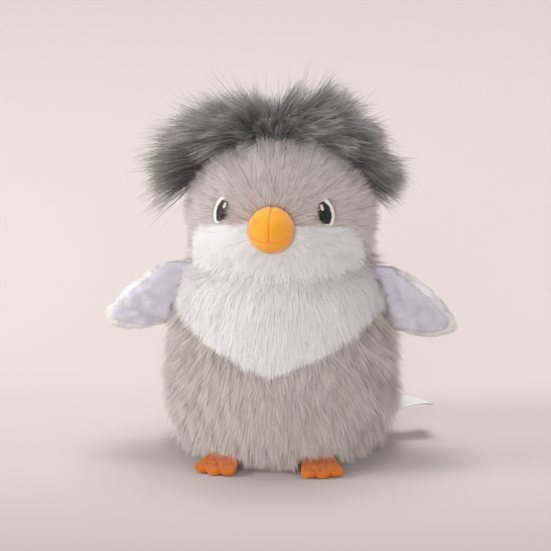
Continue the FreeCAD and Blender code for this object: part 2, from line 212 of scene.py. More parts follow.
@dataclass(frozen=True)
class ClothFinish:
    """Knitted or felted polyester cloth with a soft mottle and a fine nap.

    The mottle's patches and the nap's grain are given in millimetres. A real nap of 0.1 mm is
    too fine to show, so it is drawn several times coarser. Where a seam colour is given, the
    cloth darkens to it in the seam's groove: painted shade, where the crease falls into shadow.
    """

    name: str
    low: str
    middle: str
    high: str
    patch_mm: float
    grain_mm: float
    bump_mm: float
    roughness: float = 0.85
    sheen: float = 0.4
    # The colour of the painted shade in a seam's groove, or empty for none.
    seam: str = ""
    grain_share: float = 0.4

    def material(self) -> bpy.types.Material:
        """Build the material: two noises mix three colours, and the fine one raises the nap.

        Returns:
            The material.
        """
        material, tree, shader = new_material(self.name)
        place = {0: add_node(tree, "ShaderNodeTexCoord").outputs["Object"]}
        patch, grain = (
            add_node(tree, "ShaderNodeTexNoise", {"Scale": 1 / (size * MM), "Detail": detail}, place)
            for size, detail in ((self.patch_mm, 3.0), (self.grain_mm, 2.0))
        )
        settings = {"data_type": "FLOAT", 0: self.grain_share}
        blend = add_node(tree, "ShaderNodeMix", settings, {2: patch.outputs[0], 3: grain.outputs[0]})
        ramp = add_node(tree, "ShaderNodeValToRGB", {}, {0: blend.outputs[0]})
        set_ramp(ramp, [(0.34, self.low), (0.5, self.middle), (0.66, self.high)])
        settings = {"Distance": self.bump_mm * MM, "Strength": 0.6}
        bump = add_node(tree, "ShaderNodeBump", settings, {"Height": grain.outputs[0]})
        colour = ramp.outputs[0]
        # Painted shade: the cloth darkens towards the seam colour in the seam's groove.
        if self.seam:
            shade_mark = add_node(tree, "ShaderNodeAttribute", {"attribute_name": SEAM_SHADE_MARK})
            settings = {"data_type": "RGBA", 7: srgb(self.seam)}
            mix = add_node(tree, "ShaderNodeMix", settings, {0: shade_mark.outputs["Fac"], 6: colour})
            colour = mix.outputs[2]
        tree.links.new(colour, shader.inputs["Base Color"])
        tree.links.new(bump.outputs[0], shader.inputs["Normal"])
        gloss = {"Roughness": self.roughness, "Specular IOR Level": 0.25}
        set_inputs(shader, {**gloss, "Sheen Weight": self.sheen})
        return material


@dataclass(frozen=True)
class SatinFinish:
    """Polyester filament, woven or stitched flat, with the long soft shine of satin."""

    name: str
    low: str
    high: str
    thread_mm: float
    roughness: float = 0.38

    def material(self) -> bpy.types.Material:
        """Build the material: fine threads vary the colour and lift the surface a little.

        Returns:
            The material.
        """
        material, tree, shader = new_material(self.name)
        place = {0: add_node(tree, "ShaderNodeTexCoord").outputs["Object"]}
        settings = {"Scale": 1 / (self.thread_mm * MM), "Detail": 2.0}
        noise = add_node(tree, "ShaderNodeTexNoise", settings, place)
        ramp = add_node(tree, "ShaderNodeValToRGB", {}, {0: noise.outputs[0]})
        set_ramp(ramp, [(0.35, self.low), (0.65, self.high)])
        settings = {"Distance": 0.05 * MM, "Strength": 0.5}
        bump = add_node(tree, "ShaderNodeBump", settings, {"Height": noise.outputs[0]})
        tree.links.new(ramp.outputs[0], shader.inputs["Base Color"])
        tree.links.new(bump.outputs[0], shader.inputs["Normal"])
        set_inputs(shader, {"Roughness": self.roughness, "Specular IOR Level": 0.5})
        return material


# Taupe long pile of the body: dull and slightly warm, paler where the tips catch the light.
BODY_PILE = PileFinish("taupe_acrylic_long_pile", "#BBAEA7", "#D7CCC7", "#EBE3DF", "#BEB1AA", "#F1EAE7")
# The same yarn sheared short on the head.
HEAD_PILE = PileFinish("taupe_acrylic_short_pile", "#BFB3AE", "#D6CCC8", "#E6DEDB", "#C6BBB6", "#ECE6E3")
# White pile: almost no colour of its own, so its shade comes from the gaps between strands.
WHITE_PILE = PileFinish("white_acrylic_pile", "#F7F5F4", "#FBFAFA", "#FEFEFE", "#F6F4F4", "#FEFEFE")
# Long grey hair: smoother filament with a soft gloss, painted dark at the root as shade inside
# the mass, and pale at its tips as a painted highlight.
HAIR_PILE = PileFinish(
    "slate_modacrylic_hair", "#262627", "#656463", "#D4D1CE", "#3C3C3D", "#DEDBD8", 0.42, 0.5, 0.2
)
# Sheared minky plush of the wings: short and dense, so the eye sees soft patches, not strands.
LAVENDER_PLUSH = PileFinish(
    "lavender_minky_plush", "#DCD7E2", "#EAE6EF", "#F4F1F7", "#DFDAE5", "#F6F3F8"
)
PEARL_PLUSH = PileFinish("pearl_minky_plush", "#F3F0EE", "#FAF8F7", "#FEFDFD", "#F4F1EF", "#FEFEFE")

# The cut ends of the beak's and the feet's own cloth.
AMBER_NAP = PileFinish("amber_velboa_nap", "#F9AC32", "#FBB23A", "#FDBC4C", "#F9AC32", "#FDBC4C")
FELT_FIBRE = PileFinish("orange_felt_fibre", "#D96E04", "#E27A08", "#EA8812", "#DB7006", "#EA8812")

# Knitted minky under the wings' plush, and brushed velboa on the beak: matt, with a soft mottle.
# The seam colour of each is painted shade, which darkens the cloth in its seams' grooves.
LAVENDER_CLOTH = ClothFinish(
    "lavender_minky_cloth", "#D2CCD8", "#DED9E4", "#E8E3ED", 9.0, 0.6, 0.15, seam="#BDB6B8"
)
PEARL_CLOTH = ClothFinish(
    "pearl_minky_cloth", "#E9E5E3", "#F1EEEC", "#F7F5F4", 9.0, 0.6, 0.15, seam="#D6CFCB"
)
BEAK_CLOTH = ClothFinish("amber_velboa", "#F09F26", "#F3A52F", "#F6AD38", 6.0, 0.35, 0.08, seam="#F1922E")
# Pressed felt: matt and fibrous, with no weave.
FOOT_FELT = ClothFinish("orange_pressed_felt", "#D66A03", "#DF7505", "#E67F09", 5.0, 0.3, 0.12)
# Plain cloths that the pile, the floor or the fur hide for the most part: dull and even.
BASE_CLOTH = ClothFinish("taupe_woven_base", "#8F857E", "#A1968F", "#AFA59E", 4.0, 0.8, 0.15)
SKIN_TAUPE = ClothFinish("taupe_knit_backing", "#A89D96", "#B5AAA3", "#C0B6AF", 5.0, 0.8, 0.2)
SKIN_WHITE = ClothFinish("white_knit_backing", "#EEEBE8", "#F4F2F0", "#FAF9F8", 5.0, 0.8, 0.2)
SKIN_SLATE = ClothFinish("slate_knit_backing", "#222527", "#2C2F31", "#383C3E", 5.0, 0.8, 0.2)
FIBRE_FILL = ClothFinish("polyester_fibre_fill", "#E6E4E0", "#F1F0ED", "#FAF9F7", 6.0, 0.8, 0.5)
POUCH_CLOTH = ClothFinish("pellet_pouch_cotton", "#D8D2C6", "#E2DDD2", "#ECE8DF", 6.0, 0.8, 0.2)
# Polyester and rayon threads, and woven satin: a long soft shine across fine threads.
BASE_THREAD = SatinFinish("taupe_polyester_thread", "#7F756E", "#968B84", 0.3, 0.5)
SATIN_LABEL = SatinFinish("white_satin_ribbon", "#FAF9F9", "#FFFFFF", 0.25)
BLACK_THREAD = SatinFinish("black_rayon_thread", "#0D0E10", "#1C1D20", 0.3, 0.33)
WHITE_THREAD = SatinFinish("white_rayon_thread", "#E2E1E0", "#F6F6F5", 0.3, 0.35)


class Palette:
    """Builds each finish's material once and hands it out by name."""

    def __init__(self) -> None:
        """Start with nothing built."""
        self._built: dict[str, bpy.types.Material] = {}

    def get(self, finish: PileFinish | ClothFinish | SatinFinish) -> bpy.types.Material:
        """Return the material of a finish, built on first use.

        Args:
            finish: The finish.

        Returns:
            Its material.
        """
        if finish.name not in self._built:
            self._built[finish.name] = finish.material()
        return self._built[finish.name]


# ---------------------------------------------------------------- mesh helpers


def unit(vectors: Array) -> Array:
    """Return the vectors scaled to length 1, along the last axis."""
    return vectors / np.maximum(np.linalg.norm(vectors, axis=-1, keepdims=True), 1e-9)


def add_piece(
    name: str, mesh: bpy.types.Mesh, material: bpy.types.Material, body: str | None
) -> bpy.types.Object:
    """Put a mesh into the scene as a piece that rides on a body.

    Args:
        name: The piece's name.
        mesh: Its mesh, in the frame's coordinates.
        material: Its material.
        body: The CAD body that it moves with, or None where it bends between two.

    Returns:
        The new object.
    """
    piece = bpy.data.objects.new(name, mesh)
    bpy.context.scene.collection.objects.link(piece)
    mesh.materials.clear()
    mesh.materials.append(material)
    if body:
        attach(piece, body)
    return piece


def mesh_from(name: str, points: Array, faces: Array | list) -> bpy.types.Mesh:
    """Make a smooth-shaded mesh from points and faces.

    Args:
        name: The mesh's name.
        points: Coordinates, one row a point.
        faces: Lists of point numbers.

    Returns:
        The mesh.
    """
    mesh = bpy.data.meshes.new(name)
    mesh.from_pydata(np.asarray(points).tolist(), [], [list(map(int, f)) for f in faces])
    mesh.polygons.foreach_set("use_smooth", [True] * len(mesh.polygons))
    mesh.update()
    return mesh


# ---------------------------------------------------------------- surfaces and strands


@dataclass
class Surface:
    """A triangle surface: points, and faces as rows of three point numbers."""

    points: Array
    faces: Array

    def clipped(self, value: Array) -> "Surface":
        """Keep the part where the value is positive, cut cleanly along its zero line.

        Args:
            value: One number for each point.

        Returns:
            The kept surface.
        """
        inside = value > 0
        count = inside[self.faces].sum(1)
        points = [self.points]
        faces = [self.faces[count == 3]]
        offset = len(self.points)
        for kept in (1, 2):
            part = self.faces[count == kept]
            odd = inside[part] if kept == 1 else ~inside[part]
            turn = (odd.argmax(1)[:, None] + np.arange(3)) % 3
            a, b, c = np.take_along_axis(part, turn, 1).T
            for other in (b, c):
                share = value[a] / (value[a] - value[other])
                points.append(
                    self.points[a] + (self.points[other] - self.points[a]) * share[:, None]
                )
            ab = offset + np.arange(len(part))
            ac = ab + len(part)
            offset += 2 * len(part)
            if kept == 1:
                faces.append(np.stack([a, ab, ac], 1))
            else:
                faces += [np.stack([ab, b, c], 1), np.stack([ab, c, ac], 1)]
        return Surface(np.concatenate(points), np.concatenate(faces)).welded()

    def welded(self) -> "Surface":
        """Join points that lie within a thousandth of a millimetre, and drop unused ones.

        Returns:
            The surface without doubled points or empty faces.
        """
        micron = np.round(self.points / (0.001 * MM)).astype(np.int64)
        _, first, number = np.unique(micron, axis=0, return_index=True, return_inverse=True)
        faces = number.reshape(-1)[self.faces]
        good = (faces[:, 0] != faces[:, 1]) & (faces[:, 1] != faces[:, 2]) & (faces[:, 0] != faces[:, 2])
        used, faces = np.unique(faces[good], return_inverse=True)
        return Surface(self.points[first][used], faces.reshape(-1, 3))

    def normals(self) -> Array:
        """Work out a normal for each point.

        Returns:
            Unit vectors, one row a point.
        """
        a, b, c = (self.points[self.faces[:, k]] for k in range(3))
        flat = np.cross(b - a, c - a)
        total = np.zeros_like(self.points)
        for k in range(3):
            np.add.at(total, self.faces[:, k], flat)
        return unit(total)

    def moved(self, distance: Array) -> "Surface":
        """Return the surface moved out along its normals, each point by its own distance."""
        return Surface(self.points + self.normals() * distance[:, None], self.faces)

    def scattered(self, per_mm2: float, rng: np.random.Generator) -> tuple[Array, Array]:
        """Pick points evenly over the surface.

        Args:
            per_mm2: How many points a square millimetre gets.
            rng: Source of the random places.

        Returns:
            The points and the surface's normals there.
        """
        corners = self.points[self.faces]
        flat = np.cross(corners[:, 1] - corners[:, 0], corners[:, 2] - corners[:, 0])
        area = np.linalg.norm(flat, axis=1) / 2
        count = int(area.sum() / MM**2 * per_mm2)
        face = rng.choice(len(area), count, p=area / area.sum())
        share = rng.random((count, 2))
        share = np.where(share.sum(1, keepdims=True) > 1, 1 - share, share)
        weight = np.stack([1 - share.sum(1), share[:, 0], share[:, 1]], 1)[:, :, None]
        normals = self.normals()[self.faces][face]
        return (corners[face] * weight).sum(1), unit((normals * weight).sum(1))

    def shell(self, name: str, thickness: float, seam_shade: Array | None = None) -> bpy.types.Mesh:
        """Make a closed cloth of some thickness, its outer face on the surface.

        Args:
            name: The mesh's name.
            thickness: How thick the cloth is.
            seam_shade: How much each point lies in a seam, from 0 to 1: the painted shade in its groove.

        Returns:
            The mesh.
        """
        count = len(self.points)
        inner = self.moved(np.full(count, -thickness))
        edges = np.concatenate([self.faces[:, [0, 1]], self.faces[:, [1, 2]], self.faces[:, [2, 0]]])
        _, first, times = np.unique(np.sort(edges, 1), axis=0, return_index=True, return_counts=True)
        a, b = edges[first[times == 1]].T
        walls = np.concatenate(
            [np.stack([b, a, a + count], 1), np.stack([b, a + count, b + count], 1)]
        )
        faces = np.concatenate([self.faces, self.faces[:, ::-1] + count, walls])
        mesh = mesh_from(name, np.concatenate([self.points, inner.points]), faces)
        if seam_shade is not None:
            # The seam's painted shade, which the cloth's material reads.
            layer = mesh.attributes.new(SEAM_SHADE_MARK, "FLOAT", "POINT")
            layer.data.foreach_set("value", np.tile(seam_shade, 2).astype(np.float32))
        return mesh


def grid_surface(points: Array, closed: bool) -> Surface:
    """Make a surface from rows and columns of points.

    Args:
        points: Rows by columns by three.
        closed: Whether the last column joins the first.

    Returns:
        The surface, whose faces turn outward when rows rise and columns turn left.
    """
    rows, columns = points.shape[:2]
    number = np.arange(rows * columns).reshape(rows, columns)
    if closed:
        number = np.concatenate([number, number[:, :1]], 1)
    a, b = number[:-1, :-1], number[:-1, 1:]
    d, c = number[1:, :-1], number[1:, 1:]
    faces = np.concatenate([np.stack([a, b, c], -1), np.stack([a, c, d], -1)])
    return Surface(points.reshape(-1, 3), faces.reshape(-1, 3)).welded()


def surface_of(mesh: bpy.types.Mesh) -> Surface:
    """Read a mesh as a triangle surface.

    Args:
        mesh: The mesh.

    Returns:
        The surface.
    """
    mesh.calc_loop_triangles()
    points = np.zeros(len(mesh.vertices) * 3)
    mesh.vertices.foreach_get("co", points)
    faces = np.zeros(len(mesh.loop_triangles) * 3, np.int32)
    mesh.loop_triangles.foreach_get("vertices", faces)
    return Surface(points.reshape(-1, 3), faces.reshape(-1, 3))


def distance_to(nodes: list[str], points: Array) -> Array:
    """Measure each point's distance to the nearest of some CAD nodes.

    Args:
        nodes: The nodes' names.
        points: Coordinates, one row a point.

    Returns:
        One distance for each point.
    """
    nearest = np.full(len(points), np.inf)
    for node in nodes:
        mesh = frame["nodes"][node].data
        corners = [v.co for v in mesh.vertices]
        tree = BVHTree.FromPolygons(corners, [tuple(p.vertices) for p in mesh.polygons])
        found = np.array([tree.find_nearest(Vector(p))[3] for p in points])
        nearest = np.minimum(nearest, found)
    return nearest


def panel_of(surface: Surface, node: str, others: list[str]) -> Surface:
    """Return the part of a surface that lies nearer to one CAD panel than to the others."""
    own = distance_to([node], surface.points)
    return surface.clipped(distance_to(others, surface.points) - own)


@dataclass
class Wander:
    """A smooth random field of vectors: a sum of sine waves of about one length."""

    seed: int
    wave: float
    waves: int = 16

    def at(self, points: Array) -> Array:
        """Work out the field's vectors at some points.

        Args:
            points: Coordinates, along the last axis.

        Returns:
            One vector a point, each component about 1 in size.
        """
        rng = np.random.default_rng(self.seed)
        total = np.zeros_like(points)
        for _ in range(self.waves):
            way = unit(rng.normal(size=3)) * 2 * math.pi / (self.wave * rng.uniform(0.6, 1.6))
            push = unit(rng.normal(size=3))
            total += np.sin(points @ way + rng.uniform(0, 2 * math.pi))[..., None] * push
        return total / math.sqrt(self.waves / 6)


def tufted(paths: Array, share: float, strands: int, rng: np.random.Generator) -> Array:
    """Draw strands together into tufts, more and more towards their tips.

    Args:
        paths: Strands by levels by three.
        share: How far the tips go towards their tuft's own strand.
        strands: How many strands a tuft has.
        rng: Source of the random tufts.

    Returns:
        The new paths.
    """
    count, levels = paths.shape[:2]
    chosen = rng.choice(count, max(1, count // strands), replace=False)
    tree = KDTree(len(chosen))
    for number, strand in enumerate(chosen):
        tree.insert(paths[strand, 0], number)
    tree.balance()
    nearest = chosen[[tree.find(root)[1] for root in paths[:, 0]]]
    weight = share * rng.uniform(0.4, 1.0, (count, 1, 1))
    weight = weight * np.linspace(0, 1, levels)[None, :, None] ** 1.5
    return paths + (paths[nearest] - paths) * weight


@dataclass
class Strands:
    """Tapered flat strands of pile: each has a row of points, a way out and a tone."""

    paths: Array
    outward: Array
    tone: Array
    width: float
    tip_share: float = 0.25
    twist: float = 0.3
    soft: float = 0.85
    MAP_WIDTH: ClassVar[float] = 0.003

    def kept(self, keep: Array) -> "Strands":
        """Return only some of the strands."""
        return replace(self, paths=self.paths[keep], outward=self.outward[keep], tone=self.tone[keep])

    def mesh(self, name: str, rng: np.random.Generator) -> bpy.types.Mesh:
        """Build ribbons whose flat side faces outward, each turned a little at random.

        Args:
            name: The mesh's name.
            rng: Source of the random turns and widths.

        Returns:
            The mesh, with the strands' map: tone across and root to tip along.
        """
        count, levels = self.paths.shape[:2]
        along = unit(np.gradient(self.paths, axis=1))
        side = unit(np.cross(along, self.outward[:, None, :]))
        turn = rng.normal(0, self.twist, (count, 1, 1))
        across = side * np.cos(turn) + np.cross(side, along) * np.sin(turn)
        place = np.linspace(0, 1, levels)
        taper = (1 - place**2 * (1 - self.tip_share)) / 2
        half = self.width * taper[None, :, None] * rng.uniform(0.7, 1.3, (count, 1, 1))
        rows = levels - 1
        left = self.paths[:, :rows] - across[:, :rows] * half[:, :rows]
        right = self.paths[:, :rows] + across[:, :rows] * half[:, :rows]
        points = np.concatenate([left, right, self.paths[:, rows:]], axis=1)
        per = points.shape[1]
        start = np.arange(count)[:, None, None] * per
        step = np.arange(rows - 1)[None, :, None]
        quads = start + np.concatenate([step, step + rows, step + rows + 1, step + 1], axis=2)
        tips = start[:, 0] + np.array([[rows - 1, 2 * rows - 1, 2 * rows]])
        corners = np.concatenate([quads.reshape(-1), tips.reshape(-1)]).astype(np.int32)
        sizes = np.repeat([4, 3], [count * (rows - 1), count]).astype(np.int32)
        spread = self.MAP_WIDTH
        across_map = np.concatenate([np.full(rows, -spread), np.full(rows, spread), [0.0]])
        along_map = np.concatenate([place[:rows], place[:rows], [1.0]])
        tone = np.clip(self.tone, spread, 1 - spread)
        layout = np.empty((count, per, 2))
        layout[..., 0] = tone[:, None] + across_map
        layout[..., 1] = along_map
        mesh = bpy.data.meshes.new(name)
        mesh.vertices.add(count * per)
        mesh.vertices.foreach_set("co", points.reshape(-1).astype(np.float32))
        mesh.loops.add(len(corners))
        mesh.loops.foreach_set("vertex_index", corners)
        mesh.polygons.add(len(sizes))
        mesh.polygons.foreach_set("loop_start", (np.cumsum(sizes) - sizes).astype(np.int32))
        mesh.polygons.foreach_set("loop_total", sizes)
        mesh.polygons.foreach_set("use_smooth", np.ones(len(sizes), bool))
        layer = mesh.uv_layers.new(name=STRAND_MAP)
        layer.uv.foreach_set("vector", layout.reshape(-1, 2)[corners].reshape(-1).astype(np.float32))
        mesh.update(calc_edges=True)
        flat = unit(np.cross(across, along)) * (1 - self.soft)
        shade = flat + self.outward[:, None, :] * self.soft
        rounded = across * 0.35 * (1 - self.soft)
        shade = unit(
            np.concatenate(
                [shade[:, :rows] - rounded[:, :rows], shade[:, :rows] + rounded[:, :rows], shade[:, rows:]],
                axis=1,
            )
        )
        mesh.normals_split_custom_set_from_vertices(shade.reshape(-1, 3).astype(np.float32))
        return mesh


def tube_mesh(name: str, paths: Array, outward: Array, radius: float, sides: int = 6) -> bpy.types.Mesh:
    """Build round threads with closed ends.

    Args:
        name: The mesh's name.
        paths: Threads by levels by three.
        outward: A way that isn't along the threads, one a thread.
        radius: The threads' radius.
        sides: How many sides a thread has.

    Returns:
        The mesh.
    """
    count, levels = paths.shape[:2]
    along = unit(np.gradient(paths, axis=1))
    side = unit(np.cross(along, outward[:, None, :]))
    other = np.cross(side, along)
    angle = np.arange(sides) * 2 * math.pi / sides
    ring = side[:, :, None] * np.cos(angle)[:, None] + other[:, :, None] * np.sin(angle)[:, None]
    points = (paths[:, :, None] + ring * radius).reshape(-1, 3)
    number = np.arange(count * levels * sides).reshape(count, levels, sides)
    turned = np.roll(number, -1, axis=2)
    quads = np.stack([number[:, :-1], turned[:, :-1], turned[:, 1:], number[:, 1:]], -1)
    ends = list(number[:, 0, ::-1]) + list(number[:, -1])
    return mesh_from(name, points, list(quads.reshape(-1, 4)) + ends)


@dataclass(frozen=True)
class Pile:
    """One sort of pile: how long, wide and dense its strands are, and how they lie.

    Lengths are in millimetres and the lift at the root in degrees. Settle is how far a strand
    turns to the combed way at each step, and tuft is how many strands draw together.
    """

    finish: PileFinish
    length: float
    width: float
    per_mm2: float
    levels: int = 4
    lift: float = 35.0
    settle: float = 0.35
    share: float = 0.45
    tuft: int = 24
    spread: float = 0.25
    sway: float = 0.2
    rise: float = 0.5
    patch: float = 16.0
    soft: float = 0.85

    def grown(
        self,
        surface: Surface,
        comb: Callable[[Array], Array],
        push: Callable[[Array, float], Array],
        seed: int,
        longer: Callable[[Array], Array] | None = None,
    ) -> Strands:
        """Grow strands from a surface.

        Args:
            surface: Where they root.
            comb: Gives the way that the pile is combed at some points.
            push: Moves points out of what the pile lies on, given a least height.
            seed: Seed of the random places and lengths.
            longer: Gives how many times the usual length the pile has at some points.

        Returns:
            The strands.
        """
        rng = np.random.default_rng(seed)
        roots, normals = surface.scattered(self.per_mm2, rng)
        count = len(roots)
        patch = Wander(seed + 1, self.patch * MM).at(roots)
        length = self.length * MM * rng.uniform(1 - self.spread, 1 + self.spread, count)
        length *= 1 + 0.05 * patch[:, 0]
        if longer:
            length *= longer(roots)
        step = length[:, None] / (self.levels - 1)
        sway = (patch * 0.6 + rng.normal(size=(count, 3)) * 0.5) * self.sway
        lift = np.radians(self.lift * rng.uniform(0.6, 1.4, (count, 1)))
        way = unit(comb(roots) + sway) * np.cos(lift) + normals * np.sin(lift)
        paths = [roots]
        for level in range(1, self.levels):
            there = paths[-1] + way * step
            there = push(there, self.rise * MM * level)
            way = unit(way * (1 - self.settle) + unit(comb(there) + sway) * self.settle)
            paths.append(there)
        paths = tufted(np.stack(paths, 1), self.share, self.tuft, rng)
        tone = 0.5 + 0.1 * patch[:, 1] + 0.2 * rng.normal(size=count)
        return Strands(paths, normals, tone, self.width * MM, soft=self.soft)


def unmoved(points: Array, _: float) -> Array:
    """Return the points as they are, for pile that lies on nothing else."""
    return points


def covered(tests: list[Callable[[Array], Array]], points: Array) -> Array:
    """Tell which points any of some tests covers."""
    return np.any([test(points) for test in tests], axis=0)


# ---------------------------------------------------------------- the stuffed figure

BODY_NODES = ["chest_bib", "body_front_panel", "body_back_left_panel", "body_back_right_panel"]
BEAK_NODES = ["beak_upper_left", "beak_upper_right", "beak_lower"]
HEAD_NODES = ["muzzle_panel", "forehead_panel", "head_back_left_panel", "head_back_right_panel"]


@dataclass
class Figure:
    """The stuffed skin under the pile: a barrel below the neck and a ball above it."""

    body_pile: float = 6.0 * MM
    head_pile: float = 3.5 * MM
    body_radius: float = 58.5 * MM
    widest_z: float = 32.0 * MM
    base_radius: float = 40.0 * MM
    shoulder_radius: float = 49.0 * MM
    shoulder_z: float = 90.0 * MM
    shoulder_dome: float = 20.0 * MM
    head_z: float = 117.0 * MM
    head_radius: float = 46.0 * MM
    lump: float = 0.35 * MM
    jowl_height: float = 14.0 * MM
    jowl_growth: float = 0.28
    hem_height: float = 24.0 * MM
    hem_growth: float = 0.3
    hang_share: float = 0.75

    def __post_init__(self) -> None:
        """Work out the outline below the neck, and the neck's height from the frame."""
        self.neck_z = float(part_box("head_stuffing")[0][2])
        self.heights = np.linspace(0, self.neck_z, 240)
        self.radii = np.array([self.barrel(z) for z in self.heights])
        self.middle = np.array([0, 0, self.head_z])
        corners = np.array([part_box(node) for node in BEAK_NODES])
        low, high = corners[:, 0].min(axis=0), corners[:, 1].max(axis=0)
        self.beak = (low + high) / 2
        self.beak[1] = low[1] + (high[0] - low[0]) / 2
        self.lifts: list[Callable[[Array], Array]] = []

    def barrel(self, z: float) -> float:
        """Work out the radius of the outside of the pile at a height below the neck.

        Args:
            z: The height over the table.

        Returns:
            The radius.
        """
        if z > self.shoulder_z:
            dome = (self.shoulder_radius**2 + self.shoulder_dome**2) / (2 * self.shoulder_dome)
            return math.sqrt(dome**2 - (z - self.shoulder_z - self.shoulder_dome + dome) ** 2)
        low = z < self.widest_z
        end = self.base_radius if low else self.shoulder_radius
        rise = self.widest_z if low else self.shoulder_z - self.widest_z
        wide = self.body_radius
        centre = (wide**2 - end**2 - rise**2) / (2 * (wide - end))
        return centre + math.sqrt((wide - centre) ** 2 - (z - self.widest_z) ** 2)

    def backing_radius(self, z: Array) -> Array:
        """Return the radius of the cloth below the neck, at each height."""
        return np.interp(z, self.heights, self.radii) - self.body_pile

    def body_skin(self) -> Surface:
        """Make the cloth below the neck.

        Returns:
            Its outer face.
        """
        turn = np.linspace(0, 2 * math.pi, 160, endpoint=False)
        z = np.linspace(0, self.neck_z, 52)[:, None] + 0 * turn
        radius = self.backing_radius(z)
        points = np.stack([radius * np.cos(turn), radius * np.sin(turn), z], -1)
        return self.lumpy(grid_surface(points, True))

    def head_skin(self) -> Surface:
        """Make the cloth above the neck.

        Returns:
            Its outer face.
        """
        radius = self.head_radius - self.head_pile
        turn = np.linspace(0, 2 * math.pi, 140, endpoint=False)
        low = math.asin((self.neck_z - self.head_z) / radius)
        lift = np.linspace(low, math.pi / 2, 60)[:, None] + 0 * turn
        ball = np.stack(
            [np.cos(lift) * np.cos(turn), np.cos(lift) * np.sin(turn), np.sin(lift)], -1
        )
        return self.lumpy(grid_surface(ball * radius + self.middle, True))

    def lumpy(self, surface: Surface) -> Surface:
        """Press shallow hollows into the cloth, where the fibre filling is uneven."""
        swell = Wander(7, 26 * MM).at(surface.points)[:, 0]
        return surface.moved(-self.lump * np.clip(1 + swell, 0, 2))

    def normal_at(self, points: Array) -> Array:
        """Work out the way out of the skin at each point.

        Args:
            points: Coordinates on or near the skin.

        Returns:
            Unit vectors.
        """
        step = 0.5 * MM
        z = np.clip(points[..., 2], step, self.neck_z - step)
        slope = (self.backing_radius(z + step) - self.backing_radius(z - step)) / (2 * step)
        barrel = points * np.array([1, 1, 0])
        barrel = unit(barrel)
        barrel[..., 2] = -np.clip(slope, -1.5, 1.5)
        on_head = (points[..., 2] > self.neck_z)[..., None]
        return np.where(on_head, unit(points - self.middle), unit(barrel))

    def pushed(self, points: Array, gap: float) -> Array:
        """Move points out of the skin, the feet and the table.

        Args:
            points: Coordinates of some pile.
            gap: The least height over the skin.

        Returns:
            The moved points.
        """
        away = points - self.middle
        distance = np.linalg.norm(away, axis=-1, keepdims=True)
        least = self.head_radius - self.head_pile + gap
        moved = self.middle + away * np.maximum(1, least / np.maximum(distance, MM))
        radius = np.linalg.norm(moved[..., :2], axis=-1)
        z = np.clip(moved[..., 2], 0, self.neck_z)
        least = np.where(moved[..., 2] < self.neck_z, self.backing_radius(z) + gap, 0)
        moved[..., :2] *= np.maximum(1, least / np.maximum(radius, MM))[..., None]
        for lift in self.lifts:
            moved = lift(moved)
        moved[..., 2] = np.maximum(moved[..., 2], 0.4 * MM)
        return moved

    def combed(self, points: Array) -> Array:
        """Work out how the pile lies: down the body, and away from the beak on the head.

        Args:
            points: Coordinates on or near the skin.

        Returns:
            Unit vectors along the skin.
        """
        normals = self.normal_at(points)
        down = np.broadcast_to(np.array([0.0, 0.0, -1.0]), points.shape)
        back = np.clip((points[..., 1] + 8 * MM) / (34 * MM), 0, 1)[..., None]
        away = unit(points - self.beak) * (1 - back) + down * back
        on_head = (points[..., 2] > self.neck_z)[..., None]
        way = np.where(on_head, away, down)
        way = unit(way - normals * (way * normals).sum(-1, keepdims=True))
        hang = np.maximum(self.jowl(points), self.hem(points))[..., None] * self.hang_share
        return unit(way * (1 - hang) + down * hang)

    def jowl(self, points: Array) -> Array:
        """Return how near to the neck's crease points on the head lie, from 0 to 1."""
        rise = (points[..., 2] - self.neck_z) / self.jowl_height
        return np.where(rise > 0, np.clip(1.15 - rise, 0, 1), 0)

    def hem(self, points: Array) -> Array:
        """Return how near to the table points on the body lie, from 0 to 1."""
        return np.clip(1 - points[..., 2] / self.hem_height, 0, 1)

    def longer(self, points: Array) -> Array:
        """Return how many times the usual length the pile has: most at the neck and the hem."""
        return 1 + self.jowl_growth * self.jowl(points) + self.hem_growth * self.hem(points)

    def facing(self, points: Array, normals: Array) -> Array:
        """Work out how the pile's outer face turns: level where it hangs free.

        Args:
            points: Roots of the pile.
            normals: The skin's normals there.

        Returns:
            Unit vectors.
        """
        level = unit(points * np.array([1, 1, 0]) + np.array([0, 0, 12 * MM]))
        hang = np.maximum(self.jowl(points), 0.6 * self.hem(points))[..., None]
        return unit(normals * (1 - 0.8 * hang) + level * 0.8 * hang)


BODY_PILE_LIE = Pile(
    BODY_PILE, length=11.5, width=0.19, per_mm2=4.8, lift=40.0, settle=0.22, share=0.22, tuft=6,
    spread=0.35, sway=0.3, patch=7.0, soft=0.3,
)
# Fewer and wider strands where the pile is seen less closely.
BACK_PILE_LIE = replace(BODY_PILE_LIE, width=0.27, per_mm2=2.4)
BIB_PILE_LIE = Pile(
    WHITE_PILE, length=10.0, width=0.2, per_mm2=5.2, lift=38.0, settle=0.3, share=0.04, tuft=6,
    spread=0.3, sway=0.08, patch=14.0, soft=0.9,
)
HEAD_PILE_LIE = Pile(
    HEAD_PILE, length=8.0, width=0.2, per_mm2=4.4, lift=44.0, settle=0.18, share=0.15, tuft=7,
    spread=0.3, sway=0.36, rise=0.6, patch=5.0, soft=0.5,
)
MUZZLE_PILE_LIE = Pile(
    WHITE_PILE, length=7.5, width=0.22, per_mm2=5.0, lift=50.0, settle=0.15, share=0.03, tuft=8,
    spread=0.3, sway=0.34, rise=0.7, patch=5.0, soft=0.93,
)
NAPE_PILE_LIE = Pile(
    HEAD_PILE, length=8.0, width=0.3, per_mm2=2.4, lift=36.0, settle=0.25, share=0.25, tuft=9,
    sway=0.22, patch=8.0, soft=0.5,
)
